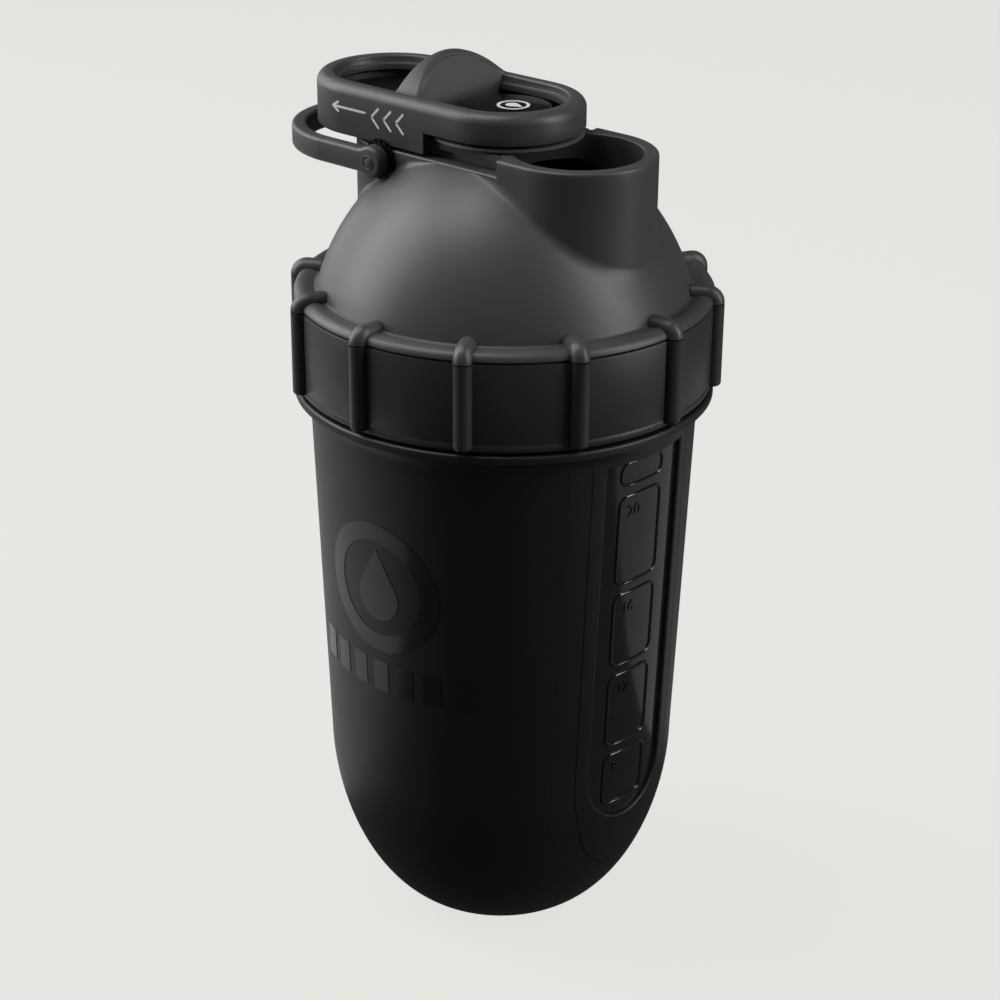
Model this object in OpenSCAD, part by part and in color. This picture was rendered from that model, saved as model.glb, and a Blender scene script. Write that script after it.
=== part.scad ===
// Protein shaker bottle: a clear vessel in a dark sleeve, and a screw lid with a sliding spout cover.
// Origin: centre of the flat foot. +Z up, +X towards the spout, -Y the marked front. Millimetres.

/* [Body] */
// Outer radius of the sleeve just under the stop flange
body_r = 47.1; // [40:0.1:60]
// How much narrower the sleeve is where its straight taper ends
body_taper = 3.3; // [0:0.1:6]
// Height of the sleeve, foot to the top of the stop flange
body_h = 144; // [110:1:190]
// Height of the rounded base
base_h = 48.7; // [35:0.1:60]
// Radius of the flat foot
foot_r = 16.2; // [10:0.1:24]
// Roundness of the base: 2 is an ellipse, less is more pointed
base_power = 1.86; // [1.6:0.01:2.4]
// Wall of the sleeve
sleeve_wall = 1.8; // [1.2:0.1:3]
// Wall of the vessel
vessel_wall = 1.8; // [1.2:0.1:3]
// How far the stop flange stands out from the sleeve
flange_out = 3.8; // [2:0.1:6]
// Height of the stop flange's rim
flange_h = 2.4; // [1.6:0.1:4]
// Height of the cove under the flange
cove_h = 3.6; // [2:0.1:6]

/* [Sight window] */
// Width of the window
window_w = 27.2; // [16:0.2:34]
// Height of the window's lowest point
window_low = 37.5; // [30:0.5:60]
// How far below the sleeve's surface the window lies
window_depth = 1.1; // [0.6:0.1:1.5]
// Angle from the slide direction to the middle of the window
window_turn = -2.4; // [-10:0.1:10]
// Number of framed level fields
field_count = 5; // [3:1:6]
// Width of a level field
field_w = 14.4; // [8:0.1:16]

/* [Neck and thread] */
// How far the neck stands inside the sleeve's top radius
neck_inset = 2.5; // [2.2:0.1:6]
// Height of the neck above the stop flange
neck_h = 19.5; // [15:0.5:28]
// Rise of the lid in one turn
thread_pitch = 5; // [4:0.5:7]
// How far the thread stands out
thread_depth = 1.4; // [0.8:0.1:2]
// Length of each thread in turns, under one so that a full turn frees the lid
thread_turns = 0.6; // [0.4:0.05:0.8]

/* [Lid] */
// Wall of the lid's threaded skirt
skirt_wall = 1.6; // [1.2:0.1:3]
// Wall of the grip ring
ring_wall = 2.3; // [1.6:0.1:4]
// Height of the shoulder that covers the grip ring
shoulder_h = 2.4; // [1.6:0.1:4]
// Width of the shoulder outside the dome
shoulder_w = 5.5; // [4:0.1:8]
// Height of the dome's crown above the shoulder's crease, if nothing stood on it
dome_h = 36.8; // [28:0.1:44]
// How far the dome's widest level lies below the crease
dome_drop = 16.7; // [10:0.1:24]
// Wall of the dome
dome_wall = 2.4; // [1.8:0.1:4]
// Number of grip ribs
rib_count = 12; // [8:1:16]
// Radius of a grip rib
rib_r = 2.2; // [1.4:0.1:3]
// Height of the silicone ring between the neck and the lid
gasket_h = 2; // [1.4:0.1:3]

/* [Spout and deck] */
// Outer radius of the spout, which is also half the deck's width
spout_r = 18.5; // [15:0.1:20]
// Wall of the spout
spout_wall = 3.4; // [2:0.1:5]
// Distance of the spout from the bottle's axis
spout_x = 21.7; // [19:0.1:24]
// Height of the deck above the shoulder's crease
deck_h = 32.8; // [28:0.1:40]
// Height of the guide rail on the deck, level with the spout's rim
rail_h = 3.8; // [3:0.1:6]
// Thickness of the guide rail's head
rail_head = 1.8; // [1.2:0.1:3]
// How far the rail's stem stands inside its head
rail_lip = 2; // [1:0.1:3]

/* [Slider] */
// Travel from open to closed
travel = 21.4; // [15:0.1:24]
// Distance between the centres of the slider's two round ends
slide_len = 35.9; // [30:0.1:42]
// Height of the slider's frame
slide_h = 12.2; // [9:0.1:15]
// Wall of the slider's skirt
slide_wall = 2.4; // [1.6:0.1:3.5]
// Width of the frame's top rim
rim_w = 5.2; // [4:0.1:7]
// Height of the front end's lower edge above the spout's rim
front_lift = 1.9; // [1.4:0.1:3]
// Distance from the front end's centre back to the notch in the skirt
notch_back = 9.6; // [9.3:0.1:14]
// Radius of the thumb fin's round top
fin_r = 20.3; // [14:0.1:24]
// Height of the thumb fin above the frame
fin_h = 7.4; // [3:0.1:10]
// Thickness of the fin at its top
fin_top = 3; // [2:0.1:5]
// Distance from the front end's centre back to the fin's top
fin_back = 19; // [16:0.1:22]
// Distance from the front end's centre back to the foot of the fin's sloped face
fin_foot = 13.4; // [12:0.1:16]
// Length of the slope behind the fin
fin_run = 2.2; // [1.5:0.1:4]
// How far the silicone seal stands inside the spout's outer radius
seal_in = 0.3; // [0:0.1:1]
// Thickness of the seal's lip
seal_t = 0.9; // [0.6:0.1:1.4]
// Thickness of the plug's carrier under the slider's floor
carrier_t = 0.8; // [0.6:0.1:1.4]
// Radius of the gloss disc in the front opening
badge_r = 10.6; // [8:0.1:12]

/* [Carry handle] */
// Distance of the hinge pins behind the bottle's axis
pin_back = 22.7; // [18:0.1:26]
// Radius of a hinge pin
pin_r = 1.5; // [1:0.1:2.2]
// Depth of the pins' axis below the deck
pin_drop = 2.8; // [2:0.1:5]
// Radius of the round ends of the arms
arm_end_r = 3.8; // [3.4:0.1:5]
// Height of the handle's bar
arm_h = 5.6; // [4:0.1:8]
// Thickness of the handle's bar
arm_t = 3.6; // [2.6:0.1:5]
// Distance from the pins back to the centre of the handle's round end
arm_len = 15.5; // [15.5:0.1:24]
// Gap between the handle and the deck
arm_gap = 0.9; // [0.5:0.1:2]

/* [Fits] */
// Gap between parts that move past each other
slide_gap = 0.3; // [0.2:0.05:0.5]
// Gap between the vessel and the sleeve
vessel_gap = 0.15; // [0.1:0.05:0.4]
// Gap between the seal and the spout's rim
seal_gap = 0.2; // [0.1:0.05:0.4]
// Radial gap between a hinge pin and the handle
pin_gap = 0.05; // [0.02:0.01:0.1]
// Gap between the lid's and the neck's threads, crest to root
thread_gap = 0.6; // [0.4:0.05:1]
// Hairline between faces that are glued or snapped together
join_gap = 0.02; // [0.01:0.01:0.05]

/* [Hidden] */
$fn = 96;
// How far a cut runs on past what it cuts
through = 10;

// Bottle levels and radii
flange_r = body_r + flange_out;
cove_top = body_h - flange_h;
taper_top = cove_top - cove_h;
low_r = body_r - body_taper;
inner_r = sleeve_wall + vessel_gap;
neck_r = body_r - neck_inset;
neck_top = body_h + neck_h;
base_steps = 20;

// Thread: both threads share one helix, half a pitch apart
thread_mid = body_h + neck_h / 2;
thread_root_w = 2.4;
thread_crest_w = 1.2;
thread_steps = 48;
sink = 0.3;

// Lid levels and radii
thread_crest_r = neck_r + thread_depth;
skirt_r = thread_crest_r + thread_gap;
ring_in_r = skirt_r + skirt_wall;
collar_r = ring_in_r + ring_wall;
ring_low = body_h + 2 * slide_gap;
skirt_low = ring_low + 0.4;
seat_z = neck_top + gasket_h;
parting_z = seat_z + 0.7;
crease_z = parting_z + 1.6;
dome_r = collar_r - shoulder_w;
dome_b = dome_h + dome_drop;
dome_a = dome_r / sqrt(1 - pow(dome_drop / dome_b, 2));
dome_mid = crease_z - dome_drop;
rib_at = collar_r + 0.2;
rib_top = parting_z + rib_r;
// How far below the deck's top the dome's crown is cut off
crown_drop = 0.4;
// Height at which the dome's curve closes, a hair below its pole
dome_pole = dome_mid + dome_b - 0.001;
gasket_out = skirt_r - 1;
gasket_in = gasket_out - 2.6;

// Deck, rail and spout levels
deck_z = crease_z + deck_h;
rim_z = deck_z + rail_h;
spout_bore_r = spout_r - spout_wall;
pocket_r = spout_r - dome_wall;
pocket_top = deck_z - dome_wall;
pocket_low = crease_z + dome_h / 3;

// Slider levels and places, spout open
front_x = spout_x - travel;
rear_x = front_x - slide_len;
slide_low = deck_z + 0.7;
slide_top = slide_low + slide_h;
front_low = rim_z + front_lift;
slide_in_r = spout_r - slide_wall;
rail_half = slide_in_r - slide_gap;
rail_rear_x = rear_x + travel + slide_gap;
notch_x = front_x - notch_back;
rim_in_r = spout_r - rim_w;
rim_h = 3.4;
edge_r = 2.4;
fin_x = front_x - fin_back;
fin_front_x = front_x - fin_foot;
fin_rear_x = fin_x - fin_run;
floor_t = 1.6;
badge_t = 4.4;
floor_low = rim_z + seal_gap + seal_t + carrier_t;
floor_r = slide_in_r - 0.1;
seal_low = rim_z + seal_gap;
seal_r = spout_r - seal_in;
seal_lip = 1.2;
carrier_r = seal_r - seal_lip;
clip_h = 1;
clip_in = slide_in_r - rail_lip + slide_gap;
clip_end = spout_x - sqrt(pow(spout_r, 2) - pow(clip_in, 2)) - slide_gap - travel;

// Handle places
pin_x = -pin_back;
pin_z = deck_z - pin_drop;
arm_in = spout_r + arm_gap;
arm_out = arm_in + arm_t;
loop_x = pin_x - arm_len;
boss_len = 4;
stop_r = arm_end_r + 1.2;

// Outer radius of the sleeve at a height, over the rounded base and the straight taper
function base_r(z) = foot_r + (low_r - foot_r) * pow(1 - pow(1 - z / base_h, base_power), 1 / base_power);
function body_radius(z) = z < base_h ? base_r(z)
    : low_r + body_taper * (z - base_h) / (taper_top - base_h);

// Half profile of the body, drawn in by a distance, from the foot up to a height
function body_side(t, top) = [
    for (i = [0 : base_steps]) let (a = 90 * i / base_steps, z = base_h * (1 - cos(a)))
        [max(body_radius(z) - t * sin(a), 0.1), z + t * cos(a)],
    [body_radius(top) - t, top]
];

// Dome radius at a height, drawn in by a distance
function dome_radius(z, t) = (dome_a - t) * sqrt(max(0, 1 - pow((z - dome_mid) / (dome_b - t), 2)));
// Half profile of the dome between two heights, closed flat across the top
function dome_side(t, low, high) = let (n = 22, a0 = asin((low - dome_mid) / (dome_b - t)),
    a1 = asin((high - dome_mid) / (dome_b - t))) [
    for (i = [0 : n]) let (a = a0 + (a1 - a0) * i / n)
        [(dome_a - t) * cos(a), dome_mid + (dome_b - t) * sin(a)],
    [0, high]
];

// One ring of thread section points: radius and height pairs turned to their angle
function thread_ring(r_root, r_crest, turn, z) = let (w = thread_root_w / 2, c = thread_crest_w / 2) [
    for (p = [[r_root, -w], [r_crest, -c], [r_crest, c], [r_root, w]])
        [p[0] * cos(turn), p[0] * sin(turn), z + p[1]]
];
function thread_points(r_root, r_crest, z) = [
    for (i = [0 : thread_steps]) let (t = thread_turns * i / thread_steps,
        fade = min(1, 6 * i / thread_steps, 6 * (thread_steps - i) / thread_steps))
        each thread_ring(r_root, r_root + (r_crest - r_root) * (0.25 + 0.75 * fade), 360 * t,
            z + thread_pitch * (t - thread_turns / 2))
];
function thread_faces(n, flip) = let (quads = [
    for (i = [0 : n - 1], j = [0 : 3]) let (k = (j + 1) % 4)
        [4 * i + j, 4 * i + k, 4 * i + 4 + k, 4 * i + 4 + j]
    ], ends = [[3, 2, 1, 0], [4 * n, 4 * n + 1, 4 * n + 2, 4 * n + 3]])
    [for (f = concat(quads, ends)) flip ? [for (i = [len(f) - 1 : -1 : 0]) f[i]] : f];

module thread(r_root, r_crest, z) {
    polyhedron(points = thread_points(r_root, r_crest, z),
        faces = thread_faces(thread_steps, r_crest < r_root), convexity = 4);
}

// A long round-ended outline between two centres on the X axis
module stadium(x1, x2, r) {
    translate([x1, 0]) circle(r = r);
    translate([x2, 0]) circle(r = r);
    translate([x1, -r]) square([x2 - x1, 2 * r]);
}

module plate(x1, x2, r, z1, z2) {
    translate([0, 0, z1]) linear_extrude(z2 - z1) stadium(x1, x2, r);
}

// The window's outline through the wall: straight sides, round foot, open under the flange
module window_cut(w, low, top) {
    rotate([0, 0, window_turn]) rotate([90, 0, 90]) linear_extrude(body_r + through) {
        translate([0, low + w / 2]) circle(r = w / 2);
        translate([-w / 2, low + w / 2]) square([w, top - low - w / 2]);
    }
}

module body_shell(t_out, t_in, low, top) {
    outer = body_side(t_out, top);
    inner = body_side(t_in, top);
    rotate_extrude() polygon(concat([[0, outer[0][1]]], outer,
        [for (i = [len(inner) - 1 : -1 : 0]) inner[i]], [[0, inner[0][1]]]));
}

module outer_sleeve() {
    cove_steps = 8;
    color("#17181a") difference() {
        union() {
            body_shell(0, sleeve_wall, 0, taper_top);
            rotate_extrude() polygon(concat(
                [[body_radius(taper_top) - sleeve_wall, taper_top]],
                [for (i = [0 : cove_steps]) let (a = 90 * i / cove_steps)
                    [body_r + (flange_out - 0.5) * (1 - cos(a)), taper_top + cove_h * sin(a)]],
                [[flange_r, cove_top + 0.6], [flange_r, body_h - 0.6], [flange_r - 0.6, body_h],
                    [body_r - sleeve_wall, body_h]]));
        }
        window_cut(window_w, window_low, taper_top - 1);
    }
}

module inner_vessel() {
    side_top = taper_top;
    outer = body_side(inner_r, side_top);
    inner = body_side(inner_r + vessel_wall, side_top);
    neck_in = neck_r - 2;
    color("#2b2e31") union() {
        rotate_extrude() polygon(concat([[0, outer[0][1]]], outer,
            [[neck_r, side_top + 1], [neck_r, neck_top - 0.5], [neck_r - 0.5, neck_top],
                [neck_in + 0.4, neck_top], [neck_in, neck_top - 0.4], [neck_in, side_top + 1]],
            [for (i = [len(inner) - 1 : -1 : 0]) inner[i]], [[0, inner[0][1]]]));
        thread(neck_r - sink, thread_crest_r, thread_mid + thread_pitch / 4);
    }
}

// The window pane fills the sleeve's cut and lies a little below its surface
module sight_window() {
    color("#3a3e42") intersection() {
        body_shell(window_depth, sleeve_wall, 0, taper_top);
        window_cut(window_w - 0.2, window_low + 0.1, taper_top - 1.1);
    }
}

// Raised frames of the level fields, which stand on the pane
module level_fields() {
    line_w = 0.8;
    field_low = window_low + 4.5;
    field_h = (taper_top - 3 - field_low) / field_count;
    color("#5a5e62") intersection() {
        body_shell(window_depth - 0.5, window_depth - join_gap, 0, taper_top);
        rotate([0, 0, window_turn]) rotate([90, 0, 90]) linear_extrude(body_r + through)
            for (i = [0 : field_count - 1]) translate([0, field_low + field_h * (i + 0.5)])
                difference() {
                    square([field_w, field_h - 1.4], center = true);
                    square([field_w - 2 * line_w, field_h - 1.4 - 2 * line_w], center = true);
                }
    }
}

// A gloss mark on the front: a ring with a drop, over a row of bars
module front_emblem() {
    mark_z = 103;
    ring_r = 17;
    ring_w = 4.6;
    drop_r = 6.2;
    drop_low = 2.4;
    bar_w = 4.6;
    bar_h = 8.4;
    bar_pitch = 7.2;
    bar_z = 79;
    color("#050505") intersection() {
        body_shell(-0.12, -join_gap, 0, taper_top);
        rotate([90, 0, 0]) linear_extrude(body_r + through) {
            translate([0, mark_z]) difference() {
                circle(r = ring_r);
                circle(r = ring_r - ring_w);
            }
            translate([0, mark_z - drop_low]) circle(r = drop_r);
            translate([0, mark_z]) polygon([[-drop_r * 0.93, 0], [drop_r * 0.93, 0], [0, drop_r * 1.7]]);
            for (i = [-3 : 3]) translate([i * bar_pitch, bar_z]) square([bar_w, bar_h], center = true);
        }
    }
}

module lid_gasket() {
    color("#202124") translate([0, 0, neck_top]) difference() {
        cylinder(r = gasket_out, h = gasket_h);
        translate([0, 0, -1]) cylinder(r = gasket_in, h = gasket_h + 2);
    }
}

// Rib ends that bend over the shoulder and run in to the dome
module rib_caps() {
    for (i = [0 : rib_count - 1]) rotate([0, 0, 360 * i / rib_count]) {
        translate([rib_at, 0, parting_z]) cylinder(r = rib_r, h = rib_top - parting_z, $fn = 48);
        translate([dome_r - 1, 0, rib_top]) rotate([0, 90, 0])
            cylinder(r = rib_r - 0.02, h = rib_at - dome_r + 1.3, $fn = 48);
    }
}

module dome_solid() {
    shoulder_steps = 6;
    round_r = shoulder_h;
    difference() {
        rotate_extrude() polygon(concat(
            [[0, parting_z], [collar_r, parting_z]],
            [for (i = [0 : shoulder_steps]) let (a = 90 * i / shoulder_steps)
                [collar_r - round_r * (1 - cos(a)), parting_z + round_r * sin(a)]],
            [[dome_radius(crease_z, 0) + 1, crease_z + 0.4]],
            dome_side(0, crease_z, dome_pole)));
        translate([-collar_r, -collar_r, deck_z - crown_drop])
            cube([2 * collar_r, 2 * collar_r, dome_h]);
    }
    plate(pin_x, spout_x, spout_r, pocket_low, deck_z);
}

// The rail's head and stem, cut off round behind so that the slider's end passes it
module guide_rail() {
    plate(rail_rear_x, spout_x, rail_half, rim_z - rail_head, rim_z);
    plate(rail_rear_x, spout_x, rail_half - rail_lip, deck_z - 0.1, rim_z);
}

module lid_hollow() {
    rotate_extrude() polygon(concat([[0, skirt_low - through], [gasket_in, skirt_low - through]],
        dome_side(dome_wall, seat_z - join_gap, pocket_top - crown_drop)));
    plate(pin_x, spout_x, pocket_r, pocket_low, pocket_top);
    translate([spout_x, 0, pocket_low]) cylinder(r = spout_bore_r, h = rim_z - pocket_low + through);
}

module lid_dome() {
    color("#3d3f42") difference() {
        union() {
            difference() {
                union() {
                    dome_solid();
                    rib_caps();
                    guide_rail();
                    translate([spout_x, 0, pocket_low]) cylinder(r = spout_r, h = rim_z - pocket_low);
                    translate([0, 0, skirt_low]) cylinder(r = ring_in_r, h = parting_z - skirt_low);
                }
                lid_hollow();
                translate([0, 0, skirt_low - 1]) cylinder(r = skirt_r, h = seat_z - skirt_low + 1);
            }
            for (s = [-1, 1]) translate([pin_x, s * (spout_r - dome_wall / 2), pin_z])
                rotate([s * 90, 0, 0]) cylinder(r = pin_r + 2, h = boss_len);
            thread(skirt_r + sink, skirt_r - thread_depth, thread_mid - thread_pitch / 4);
        }
        for (s = [-1, 1]) translate([pin_x, s * (arm_out + 1), pin_z]) rotate([s * 90, 0, 0])
            cylinder(r = pin_r, h = arm_out + 1 - spout_r + boss_len);
        for (s = [-1, 1]) translate([pin_x, s * (arm_out + 5), pin_z]) rotate([s * 90, 0, 0])
            cylinder(r = stop_r, h = arm_out + 5 - spout_r - join_gap / 2);
    }
}

module grip_ring() {
    color("#303235") difference() {
        union() {
            translate([0, 0, ring_low]) cylinder(r = collar_r, h = parting_z - ring_low);
            for (i = [0 : rib_count - 1]) rotate([0, 0, 360 * i / rib_count])
                translate([rib_at, 0, ring_low + 0.5])
                    cylinder(r = rib_r, h = parting_z - ring_low - 0.5, $fn = 48);
        }
        translate([0, 0, ring_low - 1]) cylinder(r = ring_in_r, h = parting_z - ring_low + 2);
    }
}

module hinge_pin(s) {
    color("#4a4c4f") translate([pin_x, s * (spout_r - boss_len + 0.2), pin_z]) rotate([s * -90, 0, 0])
        cylinder(r = pin_r, h = arm_out - spout_r + boss_len - 0.2);
}

// A toothed washer round the pin that the arm's end clicks against
module handle_stop(s) {
    tooth_count = 16;
    washer_t = arm_gap - slide_gap;
    color("#0d0d0e") translate([pin_x, s * (spout_r + join_gap), pin_z]) rotate([s * -90, 0, 0]) difference() {
        union() {
            cylinder(r = stop_r - 1, h = washer_t);
            for (i = [0 : tooth_count - 1]) rotate([0, 0, 360 * i / tooth_count])
                translate([stop_r - 1.5, -0.5, 0]) cube([1.3, 1, washer_t]);
        }
        translate([0, 0, -1]) cylinder(r = pin_r, h = washer_t + 2);
    }
}

// The fin: a round-topped wedge that stands across the frame between its two openings
module fin() {
    fin_mid = slide_top + fin_h - fin_r;
    intersection() {
        translate([fin_rear_x - 1, 0, fin_mid]) rotate([0, 90, 0])
            cylinder(r = fin_r, h = fin_front_x - fin_rear_x + 2);
        translate([0, slide_in_r, 0]) rotate([90, 0, 0]) linear_extrude(2 * slide_in_r)
            polygon([[fin_rear_x, floor_low + floor_t], [fin_front_x, floor_low + floor_t],
                [fin_front_x, slide_top], [fin_x + fin_top / 2, slide_top + fin_h],
                [fin_x - fin_top / 2, slide_top + fin_h], [fin_rear_x, slide_top]]);
    }
}

module slider_frame() {
    color("#45474a") union() {
        difference() {
            union() {
                plate(rear_x, front_x, spout_r, slide_low, slide_top - edge_r);
                for (i = [0 : 3]) let (a = 90 * i / 4, b = 90 * (i + 1) / 4)
                    plate(rear_x, front_x, spout_r - edge_r * (1 - cos(b * 0.5 + a * 0.5)),
                        slide_top - edge_r + edge_r * sin(a), slide_top - edge_r + edge_r * sin(b));
            }
            plate(rear_x, front_x, slide_in_r, slide_low - 1, slide_top - rim_h);
            plate(rear_x, front_x, rim_in_r, slide_top - rim_h - 1, slide_top + 1);
            translate([notch_x, -spout_r - 1, slide_low - 1])
                cube([2 * spout_r + slide_len, 2 * spout_r + 2, front_low - slide_low + 1]);
        }
        fin();
    }
}

module slide_floor() {
    color("#141415") difference() {
        plate(rear_x, front_x, floor_r, floor_low, floor_low + floor_t);
        translate([front_x, 0, floor_low - 1]) cylinder(r = badge_r, h = floor_t + 2);
    }
}

module plug_carrier() {
    color("#0b0b0c") translate([front_x, 0, seal_low + seal_t])
        cylinder(r = carrier_r, h = floor_low - seal_low - seal_t);
}

module plug_seal() {
    color("#2c2d30") translate([front_x, 0, seal_low]) cylinder(r = seal_r, h = seal_t);
}

module plug_badge() {
    button_r = 2.6;
    button_h = 0.3;
    color("#050506") translate([front_x, 0, floor_low]) {
        cylinder(r = badge_r - 0.1, h = badge_t);
        cylinder(r = button_r, h = badge_t + button_h);
    }
}

// A row of round beads on a curved strip along the far wall of the rear opening
module bead_strip() {
    bead_count = 22;
    bead_r = 0.55;
    strip_r = slide_in_r - 0.2;
    color("#5c5e61") translate([rear_x, 0, floor_low + floor_t]) {
        rotate([0, 0, 90]) rotate_extrude(angle = 150)
            translate([strip_r - 1.4, 0]) square([1.4, 1.2]);
        for (i = [0 : bead_count - 1]) rotate([0, 0, 94 + 142 * i / (bead_count - 1)])
            translate([strip_r - 0.7, 0, 1.2]) sphere(r = bead_r, $fn = 24);
    }
}

// A strip that snaps into the skirt and hooks under the rail's head
module guide_clip(s) {
    clip_low = rim_z - rail_head - slide_gap - clip_h;
    color("#26272a") translate([rear_x, s > 0 ? clip_in : -slide_in_r, clip_low])
        cube([clip_end - rear_x, slide_in_r - clip_in, clip_h]);
}

// An arrow and two chevrons that show the way to push
module slide_arrow() {
    line_w = 0.7;
    print_t = 0.1;
    arrow_z = slide_low + slide_h * 0.5;
    color("#9a9c9e") translate([rear_x + 2, -spout_r, arrow_z]) rotate([90, 0, 0])
        translate([0, 0, join_gap]) linear_extrude(print_t) {
            translate([0.6, -line_w / 2]) square([11, line_w]);
            for (x = [0, 15, 19]) translate([x, 0]) for (s = [-1, 1])
                rotate(s * 40) translate([0, -line_w / 2]) square([3, line_w]);
        }
}

module handle_arm(s) {
    translate([0, s > 0 ? arm_in : -arm_out, 0]) {
        translate([loop_x, 0, pin_z - arm_h / 2]) cube([arm_len, arm_t, arm_h]);
        translate([pin_x, arm_t, pin_z]) rotate([90, 0, 0]) cylinder(r = arm_end_r, h = arm_t);
    }
}

module carry_handle() {
    color("#3f4144") difference() {
        union() {
            translate([loop_x, 0, pin_z - arm_h / 2]) rotate([0, 0, 90]) rotate_extrude(angle = 180)
                translate([arm_in, 0]) square([arm_t, arm_h]);
            handle_arm(1);
            handle_arm(-1);
        }
        translate([pin_x, arm_out + 1, pin_z]) rotate([90, 0, 0])
            cylinder(r = pin_r + pin_gap, h = 2 * arm_out + 2);
    }
}

outer_sleeve();
inner_vessel();
sight_window();
level_fields();
front_emblem();
lid_gasket();
lid_dome();
grip_ring();
hinge_pin(-1);  // hinge_pin_front
hinge_pin(1);  // hinge_pin_rear
handle_stop(-1);  // handle_stop_front
handle_stop(1);  // handle_stop_rear
slider_frame();
slide_floor();
plug_carrier();
plug_seal();
plug_badge();
bead_strip();
guide_clip(-1);  // guide_clip_front
guide_clip(1);  // guide_clip_rear
slide_arrow();
carry_handle();
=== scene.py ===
# %% [markdown]
# # A protein shaker bottle
# This lesson dresses the CAD model of a shaker bottle for a picture. The CAD model comes in first
# and stays as the fixed frame: every piece made here is in metres, in that same frame, and rides
# on one of its moving bodies. +Z is up, +X is the way the spout cover slides, -Y is the marked
# front and the carry handle is at -X. Lengths are thought of in millimetres, as a maker would.

# %% The frame
import math

import bmesh
import bpy
import numpy as np
from mathutils import Matrix, Vector


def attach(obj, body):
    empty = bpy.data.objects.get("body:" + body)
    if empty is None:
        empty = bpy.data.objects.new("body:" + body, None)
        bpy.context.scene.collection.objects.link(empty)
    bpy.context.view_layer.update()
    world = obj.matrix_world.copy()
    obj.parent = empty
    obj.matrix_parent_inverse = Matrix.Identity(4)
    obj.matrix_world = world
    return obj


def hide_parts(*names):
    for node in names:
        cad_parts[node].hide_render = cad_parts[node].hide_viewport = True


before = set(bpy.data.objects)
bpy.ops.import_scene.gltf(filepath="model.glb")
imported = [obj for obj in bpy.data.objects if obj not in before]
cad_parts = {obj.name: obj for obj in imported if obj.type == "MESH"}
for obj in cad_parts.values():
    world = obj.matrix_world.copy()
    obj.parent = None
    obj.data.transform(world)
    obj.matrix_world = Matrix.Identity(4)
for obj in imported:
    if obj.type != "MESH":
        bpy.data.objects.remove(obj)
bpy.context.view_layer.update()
MM = 0.001


# %% [markdown]
# ## Small tools
# Nearly every part of a bottle is a rule: a profile turned round an axis, or rows of points that
# follow an outline. So the tools below join rows of points into faces, close them, and leave a
# mesh with smooth faces and crisp corners. Rows were chosen over modelling by hand because the
# sizes then stay the ones of the CAD frame.

# %% Rows of points to a mesh
def grid_faces(rows, cols, wrap_rows=False, wrap_cols=True, skip=None, start=0):
    """Quads between rows of points; skip(row, column) leaves a hole."""
    faces = []
    for r in range(rows if wrap_rows else rows - 1):
        for c in range(cols if wrap_cols else cols - 1):
            if skip and skip(r, c):
                continue
            r2, c2 = (r + 1) % rows, (c + 1) % cols
            faces.append((start + r * cols + c, start + r * cols + c2,
                          start + r2 * cols + c2, start + r2 * cols + c))
    return faces


def join_parts(*parts):
    """One list of points and faces from several."""
    points, faces = [], []
    for part_points, part_faces in parts:
        base = len(points)
        points.extend(tuple(p) for p in part_points)
        faces.extend(tuple(base + i for i in f) for f in part_faces)
    return points, faces


def make_piece(name, part, body, material, replaces=(), sharp=32):
    """A closed, outward-facing mesh object from points in millimetres, riding on a body."""
    points, faces = part
    mesh = bpy.data.meshes.new(name)
    mesh.from_pydata([(x * MM, y * MM, z * MM) for x, y, z in points], [], faces)
    bm = bmesh.new()
    bm.from_mesh(mesh)
    bmesh.ops.remove_doubles(bm, verts=bm.verts, dist=0.002 * MM)
    bmesh.ops.dissolve_degenerate(bm, edges=bm.edges, dist=0.0005 * MM)
    bmesh.ops.recalc_face_normals(bm, faces=bm.faces)
    open_edges = sum(1 for e in bm.edges if len(e.link_faces) != 2)
    bm.to_mesh(mesh)
    bm.free()
    return dress(name, mesh, body, material, replaces, sharp, open_edges)


def dress(name, mesh, body, material, replaces=(), sharp=32, open_edges=0):
    """Turns a mesh into a finished piece: shading, finish, body and the nodes it stands for."""
    mesh.shade_smooth()
    mesh.set_sharp_from_angle(angle=math.radians(sharp))
    mesh.materials.clear()
    mesh.materials.append(material)
    piece = bpy.data.objects.new(name, mesh)
    bpy.context.scene.collection.objects.link(piece)
    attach(piece, body)
    if replaces:
        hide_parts(*replaces)
    print(f"{name}: {len(mesh.polygons)} faces, {open_edges} open edges")
    return piece


def lathe(profile, segments=128, axis_at=(0, 0), closed=False):
    """Turns (radius, height) points round a vertical axis; closed joins last row to first."""
    turns = [2 * math.pi * i / segments for i in range(segments)]
    points = [(axis_at[0] + r * math.cos(a), axis_at[1] + r * math.sin(a), z)
              for r, z in profile for a in turns]
    return points, grid_faces(len(profile), segments, wrap_rows=closed)


def arc(cx, cz, radius, start, end, steps):
    """Points along an arc in a profile, angles in degrees."""
    angles = [math.radians(start + (end - start) * i / steps) for i in range(steps + 1)]
    return [(cx + radius * math.cos(a), cz + radius * math.sin(a)) for a in angles]


def slab(top, bottom, rows, cols, ring=False):
    """A closed plate between two grids of the same size; a ring also joins its last column on."""
    n = rows * cols
    faces = grid_faces(rows, cols, wrap_cols=ring)
    faces += [tuple(n + i for i in reversed(f)) for f in faces]
    if ring:
        last = (rows - 1) * cols
        rims = [list(range(cols)), [last + c for c in range(cols - 1, -1, -1)]]
    else:
        rims = [[c for c in range(cols)] + [r * cols + cols - 1 for r in range(1, rows)]
                + [(rows - 1) * cols + c for c in range(cols - 2, -1, -1)]
                + [r * cols for r in range(rows - 2, 0, -1)]]
    for rim in rims:
        for i, a in enumerate(rim):
            b = rim[(i + 1) % len(rim)]
            faces.append((a, n + a, n + b, b))
    return list(top) + list(bottom), faces


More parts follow.
